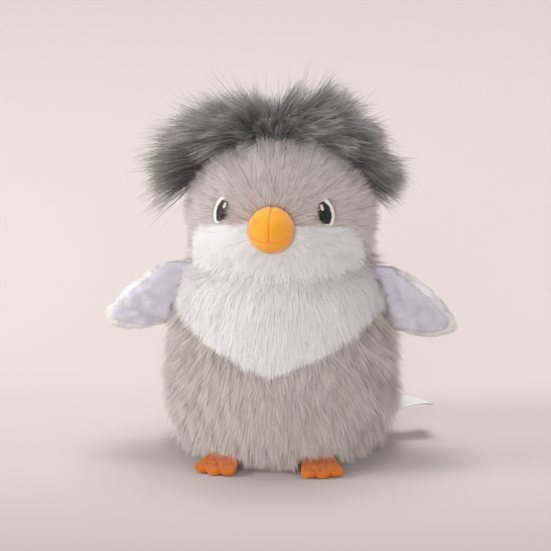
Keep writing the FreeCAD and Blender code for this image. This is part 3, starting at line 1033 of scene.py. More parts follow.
AMBER_NAP_LIE = Pile(
    AMBER_NAP, length=0.35, width=0.1, per_mm2=7.0, levels=2, lift=30.0, settle=0.0, share=0.0,
    tuft=8, spread=0.3, sway=0.5, rise=0.0, patch=5.0, soft=0.95,
)
LAVENDER_PLUSH_LIE = Pile(
    LAVENDER_PLUSH, length=1.6, width=0.18, per_mm2=9.0, levels=3, lift=32.0, settle=0.2,
    share=0.2, tuft=10, spread=0.3, sway=0.35, rise=0.0, patch=9.0, soft=0.9,
)
PEARL_PLUSH_LIE = replace(LAVENDER_PLUSH_LIE, finish=PEARL_PLUSH, per_mm2=7.0)
FELT_FIBRE_LIE = Pile(
    FELT_FIBRE, length=0.8, width=0.09, per_mm2=8.0, levels=2, lift=18.0, settle=0.0, share=0.0,
    tuft=8, spread=0.4, sway=1.6, rise=0.0, patch=4.0, soft=0.9,
)


@dataclass
class Skin:
    """The eight fur panels: knitted backing, sewn edge to edge, and the pile that grows on it."""

    figure: Figure
    palette: Palette
    backing: float = 0.7 * MM
    edge_length: float = 0.6
    edge_width: float = 14.0 * MM
    halved: tuple[str, ...] = ("body_front_panel",)
    panels: dict[str, tuple[ClothFinish, Pile, str]] = field(
        default_factory=lambda: {
            "chest_bib": (SKIN_WHITE, BIB_PILE_LIE, "white_fur"),
            "body_front_panel": (SKIN_TAUPE, BODY_PILE_LIE, "body_fur"),
            "body_back_left_panel": (SKIN_TAUPE, BACK_PILE_LIE, "body_fur"),
            "body_back_right_panel": (SKIN_TAUPE, BACK_PILE_LIE, "body_fur"),
            "muzzle_panel": (SKIN_WHITE, MUZZLE_PILE_LIE, "white_fur"),
            "forehead_panel": (SKIN_TAUPE, HEAD_PILE_LIE, "head_fur"),
            "head_back_left_panel": (SKIN_TAUPE, NAPE_PILE_LIE, "head_fur"),
            "head_back_right_panel": (SKIN_TAUPE, NAPE_PILE_LIE, "head_fur"),
        }
    )

    def build(self, bare: Callable[[Array], Array]) -> None:
        """Build each panel's backing and pile.

        Args:
            bare: Tells which points lie where no pile may, such as in an eye.
        """
        body, head = self.figure.body_skin(), self.figure.head_skin()
        for seed, (node, (cloth, pile, slot)) in enumerate(self.panels.items()):
            nodes = BODY_NODES if node in BODY_NODES else HEAD_NODES
            others = [name for name in nodes if name != node]
            surface = panel_of(body if node in BODY_NODES else head, node, others)
            mesh = surface.shell(node + "_backing", self.backing)
            piece = add_piece(mesh.name, mesh, self.palette.get(cloth), "torso")
            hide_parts(node)
            count = self.grow(node, surface, pile, seed * 10 + 100, bare)
            log.info("%s: backing and %d strands of pile", node, count)

    def trimmed(self, node: str, points: Array) -> Array:
        """Work out how long the white pile is: shorter near its panel's seams.

        Args:
            node: The panel.
            points: Roots of its pile.

        Returns:
            How many times the usual length, for each point.
        """
        group = BODY_NODES if node in BODY_NODES else HEAD_NODES
        away = distance_to([name for name in group if name != node], points)
        return self.figure.longer(points) * np.clip(self.edge_length + away / self.edge_width, 0, 1)

    def grow(
        self,
        node: str,
        surface: Surface,
        pile: Pile,
        seed: int,
        bare: Callable[[Array], Array],
    ) -> int:
        """Grow one panel's pile, without what would cover the eyes or the beak.

        Args:
            node: The panel.
            surface: Its backing's outer face.
            pile: The sort of pile.
            seed: Seed of the random places and lengths.
            bare: Tells which points lie where no pile may.

        Returns:
            How many strands there are.
        """
        figure = self.figure
        longer = partial(self.trimmed, node) if pile.finish is WHITE_PILE else figure.longer
        strands = pile.grown(surface, figure.combed, figure.pushed, seed, longer)
        strands.outward = figure.facing(strands.paths[:, 0], strands.outward)
        strands = strands.kept(~bare(strands.paths).any(axis=1))
        left = strands.paths[:, 0, 0] < 0
        whole = {"_pile": np.ones(len(left), bool)}
        halves = {"_pile_left": left, "_pile_right": ~left}
        for ending, keep in (halves if node in self.halved else whole).items():
            mesh = strands.kept(keep).mesh(node + ending, np.random.default_rng(seed + 2))
            add_piece(mesh.name, mesh, self.palette.get(pile.finish), "torso")
        return len(left)


@dataclass
class Hair:
    """A patch of long hair on the crown, which springs up, spreads out and hangs at its tips.

    The patch's reach from the crown, the strands' lean from upright and their droop are in
    degrees. The notch is the dip at the parting, and frizz is the share of loose strands.
    """

    figure: Figure
    palette: Palette
    length: float = 42.0 * MM
    strands: int = 24000
    levels: int = 8
    width: float = 0.3 * MM
    patch_side: float = 50.0
    patch_flank: float = 14.0
    front_y: float = -18.0 * MM
    shift: float = -3.5 * MM
    frizz: float = 0.05
    sideways: float = 0.7
    crown_lean: float = 26.0
    edge_lean: float = 68.0
    droop: float = 42.0
    loose_bend: float = 0.45
    notch_width: float = 0.13
    notch_depth: float = 0.3

    def inside(self, out: Array) -> Array:
        """Work out how far inside the hair's patch each direction lies.

        Args:
            out: Unit vectors from the head's middle.

        Returns:
            Roughly degrees, over zero inside the patch.
        """
        points = out * self.figure.head_radius
        side = np.abs(out[:, 0]) / np.maximum(np.hypot(out[:, 0], out[:, 1]), 1e-6)
        limit = self.patch_side + self.patch_flank * side**6
        reach = limit - np.degrees(np.arccos(np.clip(out[:, 2], -1, 1)))
        front = (points[:, 1] - self.front_y - 0.3 * np.abs(points[:, 0])) / MM
        return np.minimum(reach, front)

    def roots(self, rng: np.random.Generator) -> Array:
        """Pick even random directions on the patch.

        Args:
            rng: Source of the random directions.

        Returns:
            Unit vectors from the head's middle.
        """
        found = unit(rng.normal(size=(self.strands * 12, 3)))
        found = found[self.inside(found) > 0]
        return found[: self.strands]

    def grown(self, rng: np.random.Generator) -> Strands:
        """Grow the hair: upright at the crown, flatter towards its edge, turning down to its tips.

        Args:
            rng: Source of the random places and shapes.

        Returns:
            The strands.
        """
        out = self.roots(rng)
        count = len(out)
        roots = self.figure.middle + out * (self.figure.head_radius - self.figure.head_pile)
        share = np.arccos(out[:, 2]) / math.radians(self.patch_side)
        low = np.clip(share - 1, 0, 1)
        wander = Wander(51, 13 * MM).at(roots)
        lock = Wander(55, 4.5 * MM).at(roots)
        loose = rng.random(count) < self.frizz
        parting = self.shift / self.figure.head_radius
        noise = rng.normal(0, 1, (count, 2)) * np.where(loose, 0.3, 0.09)[:, None]
        turn = np.arctan2(self.sideways * out[:, 1], out[:, 0] - parting)
        turn = turn + 0.2 * wander[:, 0] + 0.3 * lock[:, 0] + noise[:, 0]
        flat = np.stack([np.cos(turn), np.sin(turn), np.zeros(count)], -1)
        front = np.clip(-out[:, 1] * 2.2 - 0.1, 0, 1)
        start = np.radians(self.crown_lean + self.edge_lean * np.minimum(share, 1) + 34 * low)
        start += 0.14 * wander[:, 1] + 0.2 * lock[:, 1] + noise[:, 1]
        bend = np.radians(self.droop - 12 * np.minimum(share, 1) + 6 * low - 10 * front)
        bend += 0.12 * wander[:, 2] + 0.22 * lock[:, 2]
        bend = np.where(loose, bend * self.loose_bend, bend)
        notch = np.exp(-(((out[:, 0] - parting) / self.notch_width) ** 2))
        length = self.length * rng.uniform(0.66, 1.0, count) * (1 - 0.14 * front - 0.3 * low)
        length *= 0.92 - 0.12 * out[:, 0]
        length *= (1 + 0.14 * lock[:, 0]) * (1 - self.notch_depth * notch * (share < 0.8))
        length = np.where(loose, length * 1.03, length)
        paths = [roots]
        for level in range(1, self.levels):
            done = (level - 1) / (self.levels - 2)
            angle = (start + bend * done**1.2)[:, None]
            way = flat * np.sin(angle) + np.array([0, 0, 1.0]) * np.cos(angle)
            there = paths[-1] + way * (length / (self.levels - 1))[:, None]
            paths.append(self.figure.pushed(there, 0.9 * MM * level))
        whole = np.stack(paths, 1)
        paths = tufted(tufted(whole, 0.42, 110, rng), 0.82, 12, rng)
        paths = np.where(loose[:, None, None], whole, paths)
        tone = 0.5 + 0.14 * wander[:, 1] + 0.16 * rng.normal(size=count)
        return Strands(paths, out, tone, self.width, 0.2, 0.6, 0.15)

    def build(self) -> None:
        """Build the hair's backing and its strands, in a left and a right piece."""
        skin = self.figure.head_skin()
        out = unit(skin.points - self.figure.middle)
        patch = Surface(skin.points, skin.faces).clipped(self.inside(out))
        patch = patch.moved(np.full(len(patch.points), 0.9 * MM))
        mesh = patch.shell("hair_backing", 0.7 * MM)
        piece = add_piece(mesh.name, mesh, self.palette.get(SKIN_SLATE), "torso")
        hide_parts("hair_tuft")
        strands = self.grown(np.random.default_rng(50))
        left = strands.paths[:, 0, 0] < 0
        for name, keep in (("hair_left", left), ("hair_right", ~left)):
            mesh = strands.kept(keep).mesh(name, np.random.default_rng(52))
            add_piece(name, mesh, self.palette.get(HAIR_PILE), "torso")
        log.info("hair: %d strands", len(strands.paths))


# ---------------------------------------------------------------- face, wings, feet and label


def remeshed(nodes: list[str], voxel: float, rounds: int) -> Surface:
    """Return CAD nodes as one evenly meshed surface with softened edges.

    Args:
        nodes: The CAD nodes, which become one.
        voxel: Size of the new faces.
        rounds: How many times the edges are smoothed.

    Returns:
        The surface.
    """
    surfaces = [surface_of(frame["nodes"][node].data) for node in nodes]
    offsets = np.cumsum([0] + [len(surface.points) for surface in surfaces])
    points = np.concatenate([surface.points for surface in surfaces])
    faces = np.concatenate([one.faces + offset for one, offset in zip(surfaces, offsets)])
    scratch = bpy.data.objects.new("scratch", mesh_from("scratch", points, faces))
    bpy.context.scene.collection.objects.link(scratch)
    remesh = scratch.modifiers.new("remesh", "REMESH")
    remesh.mode = "VOXEL"
    remesh.voxel_size = voxel
    smooth = scratch.modifiers.new("smooth", "SMOOTH")
    smooth.iterations = rounds
    smooth.factor = 0.5
    return evaluated(scratch)


def evaluated(scratch: bpy.types.Object) -> Surface:
    """Apply a scratch object's modifiers, and remove the object.

    Args:
        scratch: The object.

    Returns:
        Its final surface.
    """
    graph = bpy.context.evaluated_depsgraph_get()
    mesh = bpy.data.meshes.new_from_object(scratch.evaluated_get(graph))
    surface = surface_of(mesh)
    bpy.data.objects.remove(scratch)
    bpy.data.meshes.remove(mesh)
    return surface


def puffed(surface: Surface, pressure: float, cap: float) -> Surface:
    """Blow a closed cloth up from inside by simulation, at ten times its size.

    Args:
        surface: The cloth.
        pressure: The cloth modifier's pressure.
        cap: The furthest that a point may move.

    Returns:
        The padded surface.
    """
    # The cloth solver is made for sizes of a metre or so.
    scale = 10.0
    scratch = bpy.data.objects.new("scratch", mesh_from("scratch", surface.points * scale, surface.faces))
    bpy.context.scene.collection.objects.link(scratch)
    cloth = scratch.modifiers.new("cloth", "CLOTH")
    cloth.settings.use_pressure = True
    cloth.settings.uniform_pressure_force = pressure
    cloth.settings.effector_weights.gravity = 0
    for number in range(1, 21):
        bpy.context.scene.frame_set(number)
    graph = bpy.context.evaluated_depsgraph_get()
    mesh = scratch.evaluated_get(graph).to_mesh()
    points = np.zeros(len(mesh.vertices) * 3)
    mesh.vertices.foreach_get("co", points)
    bpy.data.objects.remove(scratch)
    bpy.context.scene.frame_set(1)
    move = points.reshape(-1, 3) / scale - surface.points
    far = np.linalg.norm(move, axis=1, keepdims=True)
    return Surface(surface.points + move * np.minimum(1, cap / np.maximum(far, 1e-9)), surface.faces)


@dataclass
class Filling:
    """Loose fibre or pellets: a CAD solid's place, filled with a soft uneven lump."""

    palette: Palette
    pieces: dict[str, tuple[str, ClothFinish, str]] = field(
        default_factory=lambda: {
            "body_stuffing": ("torso", FIBRE_FILL, "fibre_fill"),
            "head_stuffing": ("torso", FIBRE_FILL, "fibre_fill"),
            "beak_stuffing": ("torso", FIBRE_FILL, "fibre_fill"),
            "left_wing_wadding": ("left_wing", FIBRE_FILL, "fibre_fill"),
            "right_wing_wadding": ("right_wing", FIBRE_FILL, "fibre_fill"),
            "pellet_pouch": ("torso", POUCH_CLOTH, "pellets"),
        }
    )

    def build(self) -> None:
        """Build each filling a little smaller than the space that it fills."""
        for node, (body, finish, slot) in self.pieces.items():
            low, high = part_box(node)
            size = min(b - a for a, b in zip(low, high))
            surface = remeshed([node], size / 16, 4)
            hollow = 0.5 + 0.5 * Wander(31, size / 3).at(surface.points)[:, 0]
            surface = surface.moved(-size * (0.03 + 0.02 * np.clip(hollow, 0, 1)))
            mesh = mesh_from(node + "_fill", surface.points, surface.faces)
            piece = add_piece(mesh.name, mesh, self.palette.get(finish), body)
            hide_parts(node)
        log.info("fillings: %d", len(self.pieces))


@dataclass
class Eye:
    """An eye in satin stitch: a white oval, a black one nearer the beak, and a small glint."""

    side: Side
    figure: Figure
    palette: Palette
    half_height: float = 7.0 * MM
    half_width: float = 4.6 * MM
    black_height: float = 5.6 * MM
    black_width: float = 3.7 * MM
    black_forward: float = 1.45 * MM
    glint_height: float = 1.4 * MM
    glint_width: float = 0.75 * MM
    glint_rise: float = 2.9 * MM
    glint_forward: float = 2.9 * MM
    tilt: float = 6.0
    thread: float = 0.24 * MM
    pitch: float = 0.36 * MM
    slant: float = 0.16

    def __post_init__(self) -> None:
        """Find the eye's ways out, up and towards the beak from its CAD node."""
        low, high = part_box(f"{self.side.value}_eye_white")
        self.out = unit((np.array(low) + np.array(high)) / 2 - self.figure.middle)
        across = unit(np.cross([0, 0, 1], self.out))
        forward = -across if self.side is Side.RIGHT else across
        up = np.cross(self.out, across)
        tilt = math.radians(self.tilt)
        self.up = up * math.cos(tilt) + forward * math.sin(tilt)
        self.forward = forward * math.cos(tilt) - up * math.sin(tilt)

    def covers(self, points: Array) -> Array:
        """Tell which points lie over the eye.

        Args:
            points: Coordinates, along the last axis.

        Returns:
            True for each point over it.
        """
        away = points - self.figure.middle
        share = self.figure.head_radius / np.maximum(away @ self.out, MM)
        rise = (away @ self.up) * share / self.half_height
        forward = (away @ self.forward) * share / self.half_width
        return (away @ self.out > 0) & (rise**2 + forward**2 < 0.9)

    def stitches(
        self, name: str, half: tuple[float, float], at: tuple[float, float], lift: float, jag: float
    ) -> bpy.types.Mesh:
        """Lay threads side by side across an oval.

        Args:
            name: The mesh's name.
            half: The oval's half height and half width.
            at: Its rise and its way towards the beak, from the eye's middle.
            lift: How far the threads stand over the pile's height.
            jag: How uneven the threads' ends are.

        Returns:
            The mesh.
        """
        rng = np.random.default_rng(len(name) + 17)
        count = int(2 * half[0] / self.pitch)
        rise = (np.arange(count) + 0.5) * 2 * half[0] / count - half[0]
        reach = half[1] * np.sqrt(1 - (rise / half[0]) ** 2)
        ends = reach[:, None] + rng.uniform(-jag, jag, (count, 2))
        share = np.linspace(0, 1, 9)
        along = -ends[:, :1] * (1 - share) + ends[:, 1:] * share
        up = at[0] + rise[:, None] + self.slant * along
        forward = at[1] + along
        ways = self.out + (
            self.up * up[..., None] + self.forward * forward[..., None]
        ) / self.figure.head_radius
        edge = np.abs(2 * share - 1)
        height = self.figure.head_radius + lift + 0.25 * MM * (1 - edge**2) - 1.1 * MM * edge**8
        paths = self.figure.middle + unit(ways) * height[None, :, None]
        outward = np.repeat(self.out[None], count, 0)
        return tube_mesh(name, paths, outward, self.thread)

    def build(self) -> None:
        """Build the white, the black and the glint."""
        black = (self.black_height, self.black_width)
        glint = (self.glint_height, self.glint_width)
        layers = [
            ("white", WHITE_THREAD, (self.half_height, self.half_width), (0.0, 0.0), -0.7, 0.15),
            ("black", BLACK_THREAD, black, (0.0, self.black_forward), -0.35, 0.45),
            ("glint", WHITE_THREAD, glint, (self.glint_rise, self.glint_forward), 0.0, 0.12),
        ]
        for part, finish, half, at, lift, jag in layers:
            name = f"{self.side.value}_eye_{part}"
            mesh = self.stitches(name + "_stitches", half, at, lift * MM, jag * MM)
            piece = add_piece(mesh.name, mesh, self.palette.get(finish), "torso")
            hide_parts(name)
        log.info("%s eye", self.side.value)


@dataclass
class Beak:
    """A padded ball of three amber panels, pulled in along its seams."""

    figure: Figure
    palette: Palette
    radius: float = 11.3 * MM
    seam_depth: float = 0.5 * MM
    seam_width: float = 0.6 * MM
    cloth: float = 0.6 * MM
    nap: Pile = AMBER_NAP_LIE

    def covers(self, points: Array) -> Array:
        """Tell which points lie in the beak."""
        return np.linalg.norm(points - self.figure.beak, axis=-1) < self.radius - 0.2 * MM

    def build(self) -> None:
        """Build each panel's cloth and its short nap."""
        turn = np.linspace(0, 2 * math.pi, 180, endpoint=False)
        lift = np.linspace(-math.pi / 2, math.pi / 2, 91)[:, None] + 0 * turn
        ball = np.stack([np.cos(lift) * np.cos(turn), np.cos(lift) * np.sin(turn), np.sin(lift)], -1)
        ball = grid_surface(ball * self.radius + self.figure.beak, True)
        inside = self.figure.head_radius - self.figure.head_pile
        ball = ball.clipped(np.linalg.norm(ball.points - self.figure.middle, axis=1) - inside)
        for seed, node in enumerate(BEAK_NODES):
            others = [other for other in BEAK_NODES if other != node]
            surface = panel_of(ball, node, others)
            away = distance_to(others, surface.points) / self.seam_width
            seam = np.exp(-(away**2))
            pucker = Wander(61, 2.5 * MM).at(surface.points)[:, 0] * 0.1 * MM * np.exp(-away / 3)
            surface = surface.moved(-self.seam_depth * seam + pucker)
            # The cloth is painted darker along the seams, as shade in their grooves.
            mesh = surface.shell(node + "_cloth", self.cloth, np.exp(-((away / 0.8) ** 2)))
            piece = add_piece(mesh.name, mesh, self.palette.get(BEAK_CLOTH), "torso")
            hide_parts(node)
            nap = self.nap.grown(surface, self.figure.combed, unmoved, 600 + seed * 10)
            nap = nap.kept(distance_to(others, nap.paths[:, 0]) > 1.3 * self.seam_width)
            mesh = nap.mesh(node + "_nap", np.random.default_rng(64))
            add_piece(mesh.name, mesh, self.palette.get(AMBER_NAP), "torso")
        log.info("beak: %d panels", len(BEAK_NODES))


@dataclass
class Wing:
    """A flat padded flipper: a mottled front, and a pale back that wraps round its rim."""

    side: Side
    palette: Palette
    tab: float = 6.0 * MM
    bend_in: float = 2.0 * MM
    bend_out: float = 3.5 * MM
    seam_depth: float = 0.55 * MM
    seam_width: float = 0.9 * MM
    front: Pile = LAVENDER_PLUSH_LIE
    back: Pile = PEARL_PLUSH_LIE

    def __post_init__(self) -> None:
        """Find the hinge, and the ways up it and out from it, from the frame's joint."""
        joint = next(j for j in frame["joints"] if j["name"] == f"{self.side.value}_wing_swing")
        self.hinge = np.array(joint["pos_m"])
        axis = np.array(joint["axis"], float)
        self.up = axis * np.sign(axis[2])
        sign = 1.0 if self.side is Side.RIGHT else -1.0
        self.out = np.cross(self.up, [0.0, 1.0, 0.0]) * -sign
        self.out *= sign * np.sign(self.out[0])

    def combed(self, points: Array) -> Array:
        """Return the way the plush lies: towards the wing's tip and a little down."""
        return np.broadcast_to(unit(self.out - 0.6 * self.up), points.shape)

    def outline(self) -> Surface:
        """Make the padded wing in one piece.

        Returns:
            Its surface.
        """
        nodes = [f"{self.side.value}_wing_{part}" for part in ("front_panel", "back_panel", "wadding")]
        surface = remeshed(nodes, 0.8 * MM, 3)
        surface = puffed(surface, 4.0, 0.5 * MM)
        return surface

    def tabbed(self, surface: Surface) -> Surface:
        """Draw the root of a surface out into the body as a tab, which the side seam holds.

        Args:
            surface: A part of the wing.

        Returns:
            The longer surface.
        """
        reach = (surface.points - self.hinge) @ self.out
        share = np.clip(1 - reach / (5 * MM), 0, 1)
        return Surface(surface.points - self.out * (self.tab * share**2)[:, None], surface.faces)

    def build(self) -> None:
        """Build the two panels and their plush."""
        whole = self.outline()
        parts = [
            ("front", "back", LAVENDER_CLOTH, self.front, 700),
            ("back", "front", PEARL_CLOTH, self.back, 720),
        ]
        for part, other, cloth, pile, seed in parts:
            node, facing = f"{self.side.value}_wing_{part}_panel", f"{self.side.value}_wing_{other}_panel"
            surface = panel_of(whole, node, [facing])
            # How deep in a seam each point lies: it sinks the groove and paints shade into it.
            seam = np.exp(-((distance_to([facing], surface.points) / self.seam_width) ** 2))
            pucker = Wander(71, 7 * MM).at(surface.points)[:, 0] * 0.22 * MM
            surface = self.tabbed(surface.moved(-self.seam_depth * seam + pucker))
            plush = pile.grown(surface, self.combed, unmoved, seed)
            pieces = [
                (surface.shell(node + "_cloth", 0.5 * MM, seam), cloth),
                (plush.mesh(node + "_plush", np.random.default_rng(seed + 3)), pile.finish),
            ]
            for mesh, finish in pieces:
                piece = add_piece(mesh.name, mesh, self.palette.get(finish), None)
                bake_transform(piece)
                if finish is cloth:
                    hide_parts(node)
        log.info("%s wing", self.side.value)


@dataclass
class Foot:
    """A foot of thick pressed felt, its cut edges soft with loose fibre."""

    side: Side
    palette: Palette
    length: float = 24.0 * MM
    half_width: float = 10.6 * MM
    thickness: float = 2.5 * MM
    tilt: float = 14.0
    nap: Pile = FELT_FIBRE_LIE

    def __post_init__(self) -> None:
        """Find the heel and the toes' way from the frame's joint."""
        joint = next(j for j in frame["joints"] if j["name"] == f"{self.side.value}_foot_droop")
        self.heel = np.array(joint["pos_m"])
        axis = np.array(joint["axis"], float)
        self.across = axis
        self.ahead = np.array([axis[1], -axis[0], 0.0])

    def combed(self, points: Array) -> Array:
        """Return the way the loose fibre lies: towards the toes."""
        return np.broadcast_to(self.ahead, points.shape)

    def lifted(self, points: Array) -> Array:
        """Lift points of the body's pile that lie in the foot to the top of the felt.

        Args:
            points: Coordinates of some pile.

        Returns:
            The moved points.
        """
        away = points - self.heel
        reach = away @ self.ahead
        tan = math.tan(math.radians(self.tilt))
        top = self.heel[2] - reach * tan + self.thickness + 0.5 * MM
        over = (reach > -1.5 * MM) & (reach < self.length) & (np.abs(away @ self.across) < self.half_width)
        moved = points.copy()
        moved[..., 2] = np.where(over, np.maximum(points[..., 2], top), points[..., 2])
        return moved

    def build(self) -> None:
        """Build the felt and its loose fibre."""
        node = f"{self.side.value}_foot"
        surface = remeshed([node], 0.45 * MM, 3)
        grain = Wander(81, 1.6 * MM).at(surface.points)[:, 0]
        surface = surface.moved(0.06 * MM * grain)
        mesh = mesh_from(node + "_felt", surface.points, surface.faces)
        piece = add_piece(mesh.name, mesh, self.palette.get(FOOT_FELT), node + "_body")
        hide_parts(node)
        fibre = self.nap.grown(surface, self.combed, unmoved, 800)
        low = fibre.paths[:, :, 2].min(axis=1) > 0.15 * MM
        mesh = fibre.kept(low).mesh(node + "_fibre", np.random.default_rng(83))
        add_piece(mesh.name, mesh, self.palette.get(FELT_FIBRE), node + "_body")
        log.info("%s foot", self.side.value)


@dataclass
class Base:
    """The woven disc that closes the bottom, gathered a little by its round of stitches."""

    palette: Palette
    stitches: int = 48
    thread: float = 0.3 * MM

    def build(self) -> None:
        """Build the disc and its stitches."""
        low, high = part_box("base_panel")
        radius = float(high[0])
        surface = remeshed(["base_panel"], 0.9 * MM, 2)
        turn = np.arctan2(surface.points[:, 1], surface.points[:, 0])
        edge = np.clip(np.hypot(surface.points[:, 0], surface.points[:, 1]) / radius, 0, 1) ** 6
        surface.points[:, 2] += 0.15 * MM * edge * (1 + np.sin(turn * self.stitches / 2))
        surface.points[:, 2] = np.maximum(surface.points[:, 2], 0.02 * MM)
        mesh = mesh_from("base_cloth", surface.points, surface.faces)
        piece = add_piece(mesh.name, mesh, self.palette.get(BASE_CLOTH), "torso")
        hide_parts("base_panel")
        turn = np.arange(self.stitches) * 2 * math.pi / self.stitches
        share = np.linspace(0, 1, 7)
        reach = radius - 2.2 * MM + 4.2 * MM * share
        sag = 0.55 * MM * (1 - (2 * share - 1) ** 4)
        paths = np.stack(
            [
                np.cos(turn)[:, None] * reach,
                np.sin(turn)[:, None] * reach,
                np.broadcast_to(float(low[2]) + 0.95 * MM - sag, (self.stitches, 7)),
            ],
            -1,
        )
        outward = np.repeat([[0.0, 0.0, -1.0]], self.stitches, 0)
        mesh = tube_mesh("base_stitches", paths, outward, self.thread)
        add_piece(mesh.name, mesh, self.palette.get(BASE_THREAD), "torso")
        log.info("base: %d stitches", self.stitches)


@dataclass
class Label:
    """A blank satin strip, folded in two at its tip, that arches out of the side seam."""

    figure: Figure
    palette: Palette
    width: float = 16.0 * MM
    reach: float = 27.0 * MM
    hidden: float = 5.5 * MM
    arch: float = 2.6 * MM
    twist: float = 13.0
    gap: float = 0.32 * MM
    ply: float = 0.22 * MM

    def build(self) -> None:
        """Build the folded strip, twisted a little from its root to its tip."""
        joint = next(j for j in frame["joints"] if j["name"] == "care_label_fold")
        root = np.array(joint["pos_m"])
        across = np.array(joint["axis"], float)
        out = unit(root * np.array([1.0, 1.0, 0.0]))
        share = np.linspace(0, 1, 26)
        reach = share * self.reach - self.hidden
        rise = 4 * self.arch * share * (1 - share) + 1.5 * MM * share
        bend = np.linspace(-math.pi / 2, math.pi / 2, 7)[1:-1]
        spread = self.gap * (0.25 + 0.75 * share)
        flat = np.concatenate([reach, reach[-1] + self.gap * np.cos(bend), reach[::-1]])
        high = np.concatenate(
            [rise - spread, rise[-1] + self.gap * np.sin(bend), (rise + spread)[::-1]]
        )
        side = np.linspace(-0.5, 0.5, 17) * self.width
        turn = np.radians(self.twist) * (2.2 * np.clip(flat / self.reach, 0, 1) - 1)[:, None]
        points = root + flat[:, None, None] * out + (np.cos(turn) * side)[..., None] * across
        points[..., 2] += high[:, None] + np.sin(turn) * side
        surface = grid_surface(points, False)
        mesh = surface.shell("care_label_satin", self.ply)
        piece = add_piece(mesh.name, mesh, self.palette.get(SATIN_LABEL), None)
        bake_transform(piece)
        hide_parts("care_label")
        log.info("care label")


# ---------------------------------------------------------------- stage, lights and camera


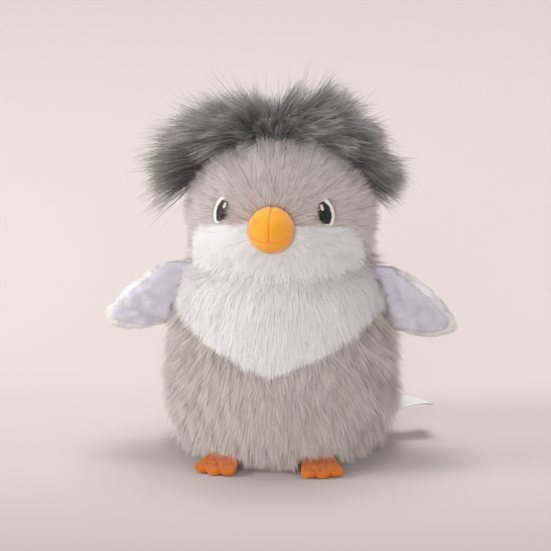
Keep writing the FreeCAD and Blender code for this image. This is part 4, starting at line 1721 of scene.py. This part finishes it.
@dataclass
class Studio:
    """A seamless paper sweep, soft lights on both sides and a long-lens camera."""

    azimuth: float = 5.7
    elevation: float = 15.0
    distance: float = 2.4
    lens: float = 313.6
    across: float = -2.6 * MM
    up: float = 83.35 * MM
    lamp: str = "#FFFEFE"
    air: float = 0.27
    # The paper's colour: palest far off; painted shade darkens it under and in front of the figure.
    paper_far: str = "#F4EAE8"
    paper_back_shade: str = "#D7CCCA"
    paper_front_shade: str = "#B4A8A6"

    def build_camera(self) -> None:
        """Aim the camera down at the figure from a little to its right."""
        turn, tilt = math.radians(self.azimuth), math.radians(self.elevation)
        back = Vector(
            (math.sin(turn) * math.cos(tilt), -math.cos(turn) * math.cos(tilt), math.sin(tilt))
        )
        right = Vector((math.cos(turn), math.sin(turn), 0))
        rise = back.cross(right)
        target = right * self.across + rise * self.up
        data = bpy.data.cameras.new("camera")
        data.lens = self.lens
        data.clip_start = 0.05
        camera = bpy.data.objects.new("camera", data)
        bpy.context.scene.collection.objects.link(camera)
        camera.matrix_world = Matrix.Translation(target + back * self.distance) @ Matrix(
            (right, rise, back)
        ).transposed().to_4x4()
        bpy.context.scene.camera = camera

    def build_sweep(self) -> None:
        """Make the paper: flat under the figure, curving up far behind it, its colour darkened by painted
        shade under and in front of the figure.
        """
        material, tree, shader = new_material("seamless_paper")
        place = add_node(tree, "ShaderNodeTexCoord")
        split = add_node(tree, "ShaderNodeSeparateXYZ", {}, {0: place.outputs["Object"]})
        shift = add_node(
            tree, "ShaderNodeMapRange", {1: -1.2, 2: 1.8, 3: 0.0, 4: 1.0}, {0: split.outputs["Y"]}
        )
        shade_ramp = add_node(tree, "ShaderNodeValToRGB", {}, {0: shift.outputs[0]})
        # Painted shade: the paper darkens towards the band just in front of the figure and pales far off.
        set_ramp(
            shade_ramp,
            [
                (0.0, self.paper_far),
                (0.32, self.paper_front_shade),
                (0.41, self.paper_back_shade),
                (1.0, self.paper_far),
            ],
        )
        tree.links.new(shade_ramp.outputs[0], shader.inputs["Base Color"])
        shader.inputs["Roughness"].default_value = 0.9
        shader.inputs["Specular IOR Level"].default_value = 0.2
        bend = np.linspace(0, math.pi / 2, 24)
        radius, start = 1.2, 1.6
        y = np.concatenate([[-4.0, 0.0], start + radius * np.sin(bend), [start + radius]])
        z = np.concatenate([[0.0, 0.0], radius - radius * np.cos(bend), [4.0]])
        profile = np.stack([y, z], 1)
        points = np.array([[(x, row[0], row[1]) for x in (-4.0, 4.0)] for row in profile])
        surface = grid_surface(points, False)
        sweep = bpy.data.objects.new("paper_sweep", mesh_from("paper_sweep", surface.points, surface.faces))
        bpy.context.scene.collection.objects.link(sweep)
        sweep.data.materials.append(material)

    def build_light(
        self, name: str, place: tuple[float, float, float], size: float, power: float
    ) -> None:
        """Hang one square soft light that faces the figure's middle.

        Args:
            name: The light's name.
            place: Where it hangs, in metres.
            size: The length of its side, in metres.
            power: Its power in watts.
        """
        data = bpy.data.lights.new(name, "AREA")
        data.energy = power
        data.size = size
        data.color = srgb(self.lamp)[:3]
        light = bpy.data.objects.new(name, data)
        bpy.context.scene.collection.objects.link(light)
        light.location = place
        aim = Vector((0, 0, 0.09)) - Vector(place)
        light.rotation_euler = aim.to_track_quat("-Z", "Y").to_euler()

    def build(self) -> None:
        """Build the camera, the paper and the lights."""
        self.build_camera()
        self.build_sweep()
        self.build_light("overhead", (-0.05, 0.5, 1.9), 0.9, 23.5)
        self.build_light("side_left", (-1.5, -0.35, 0.7), 0.6, 15.5)
        self.build_light("side_right", (1.5, -0.3, 0.9), 0.6, 4.2)
        self.build_light("fill", (0.0, -2.0, 0.4), 1.0, 20.0)
        world = bpy.data.worlds.new("studio_air")
        bpy.context.scene.world = world
        world.use_nodes = True
        background = world.node_tree.nodes["Background"]
        background.inputs[0].default_value = srgb(self.lamp)
        background.inputs[1].default_value = self.air
        bpy.context.scene.view_settings.view_transform = "Standard"


def main() -> None:
    """Build the studio and then each part of the toy."""
    logging.basicConfig(level=logging.INFO, format="%(name)s: %(message)s")
    palette = Palette()
    figure = Figure()
    Studio().build()
    feet = [Foot(side, palette) for side in Side]
    figure.lifts = [foot.lifted for foot in feet]
    beak = Beak(figure, palette)
    eyes = [Eye(side, figure, palette) for side in Side]
    wings = [Wing(side, palette) for side in Side]
    bare = [beak.covers] + [eye.covers for eye in eyes]
    Skin(figure, palette).build(partial(covered, bare))
    parts = [Hair(figure, palette), beak, *eyes, *wings, *feet, Base(palette)]
    parts += [Label(figure, palette), Filling(palette)]
    for part in parts:
        part.build()


if __name__ == "__main__":
    main()
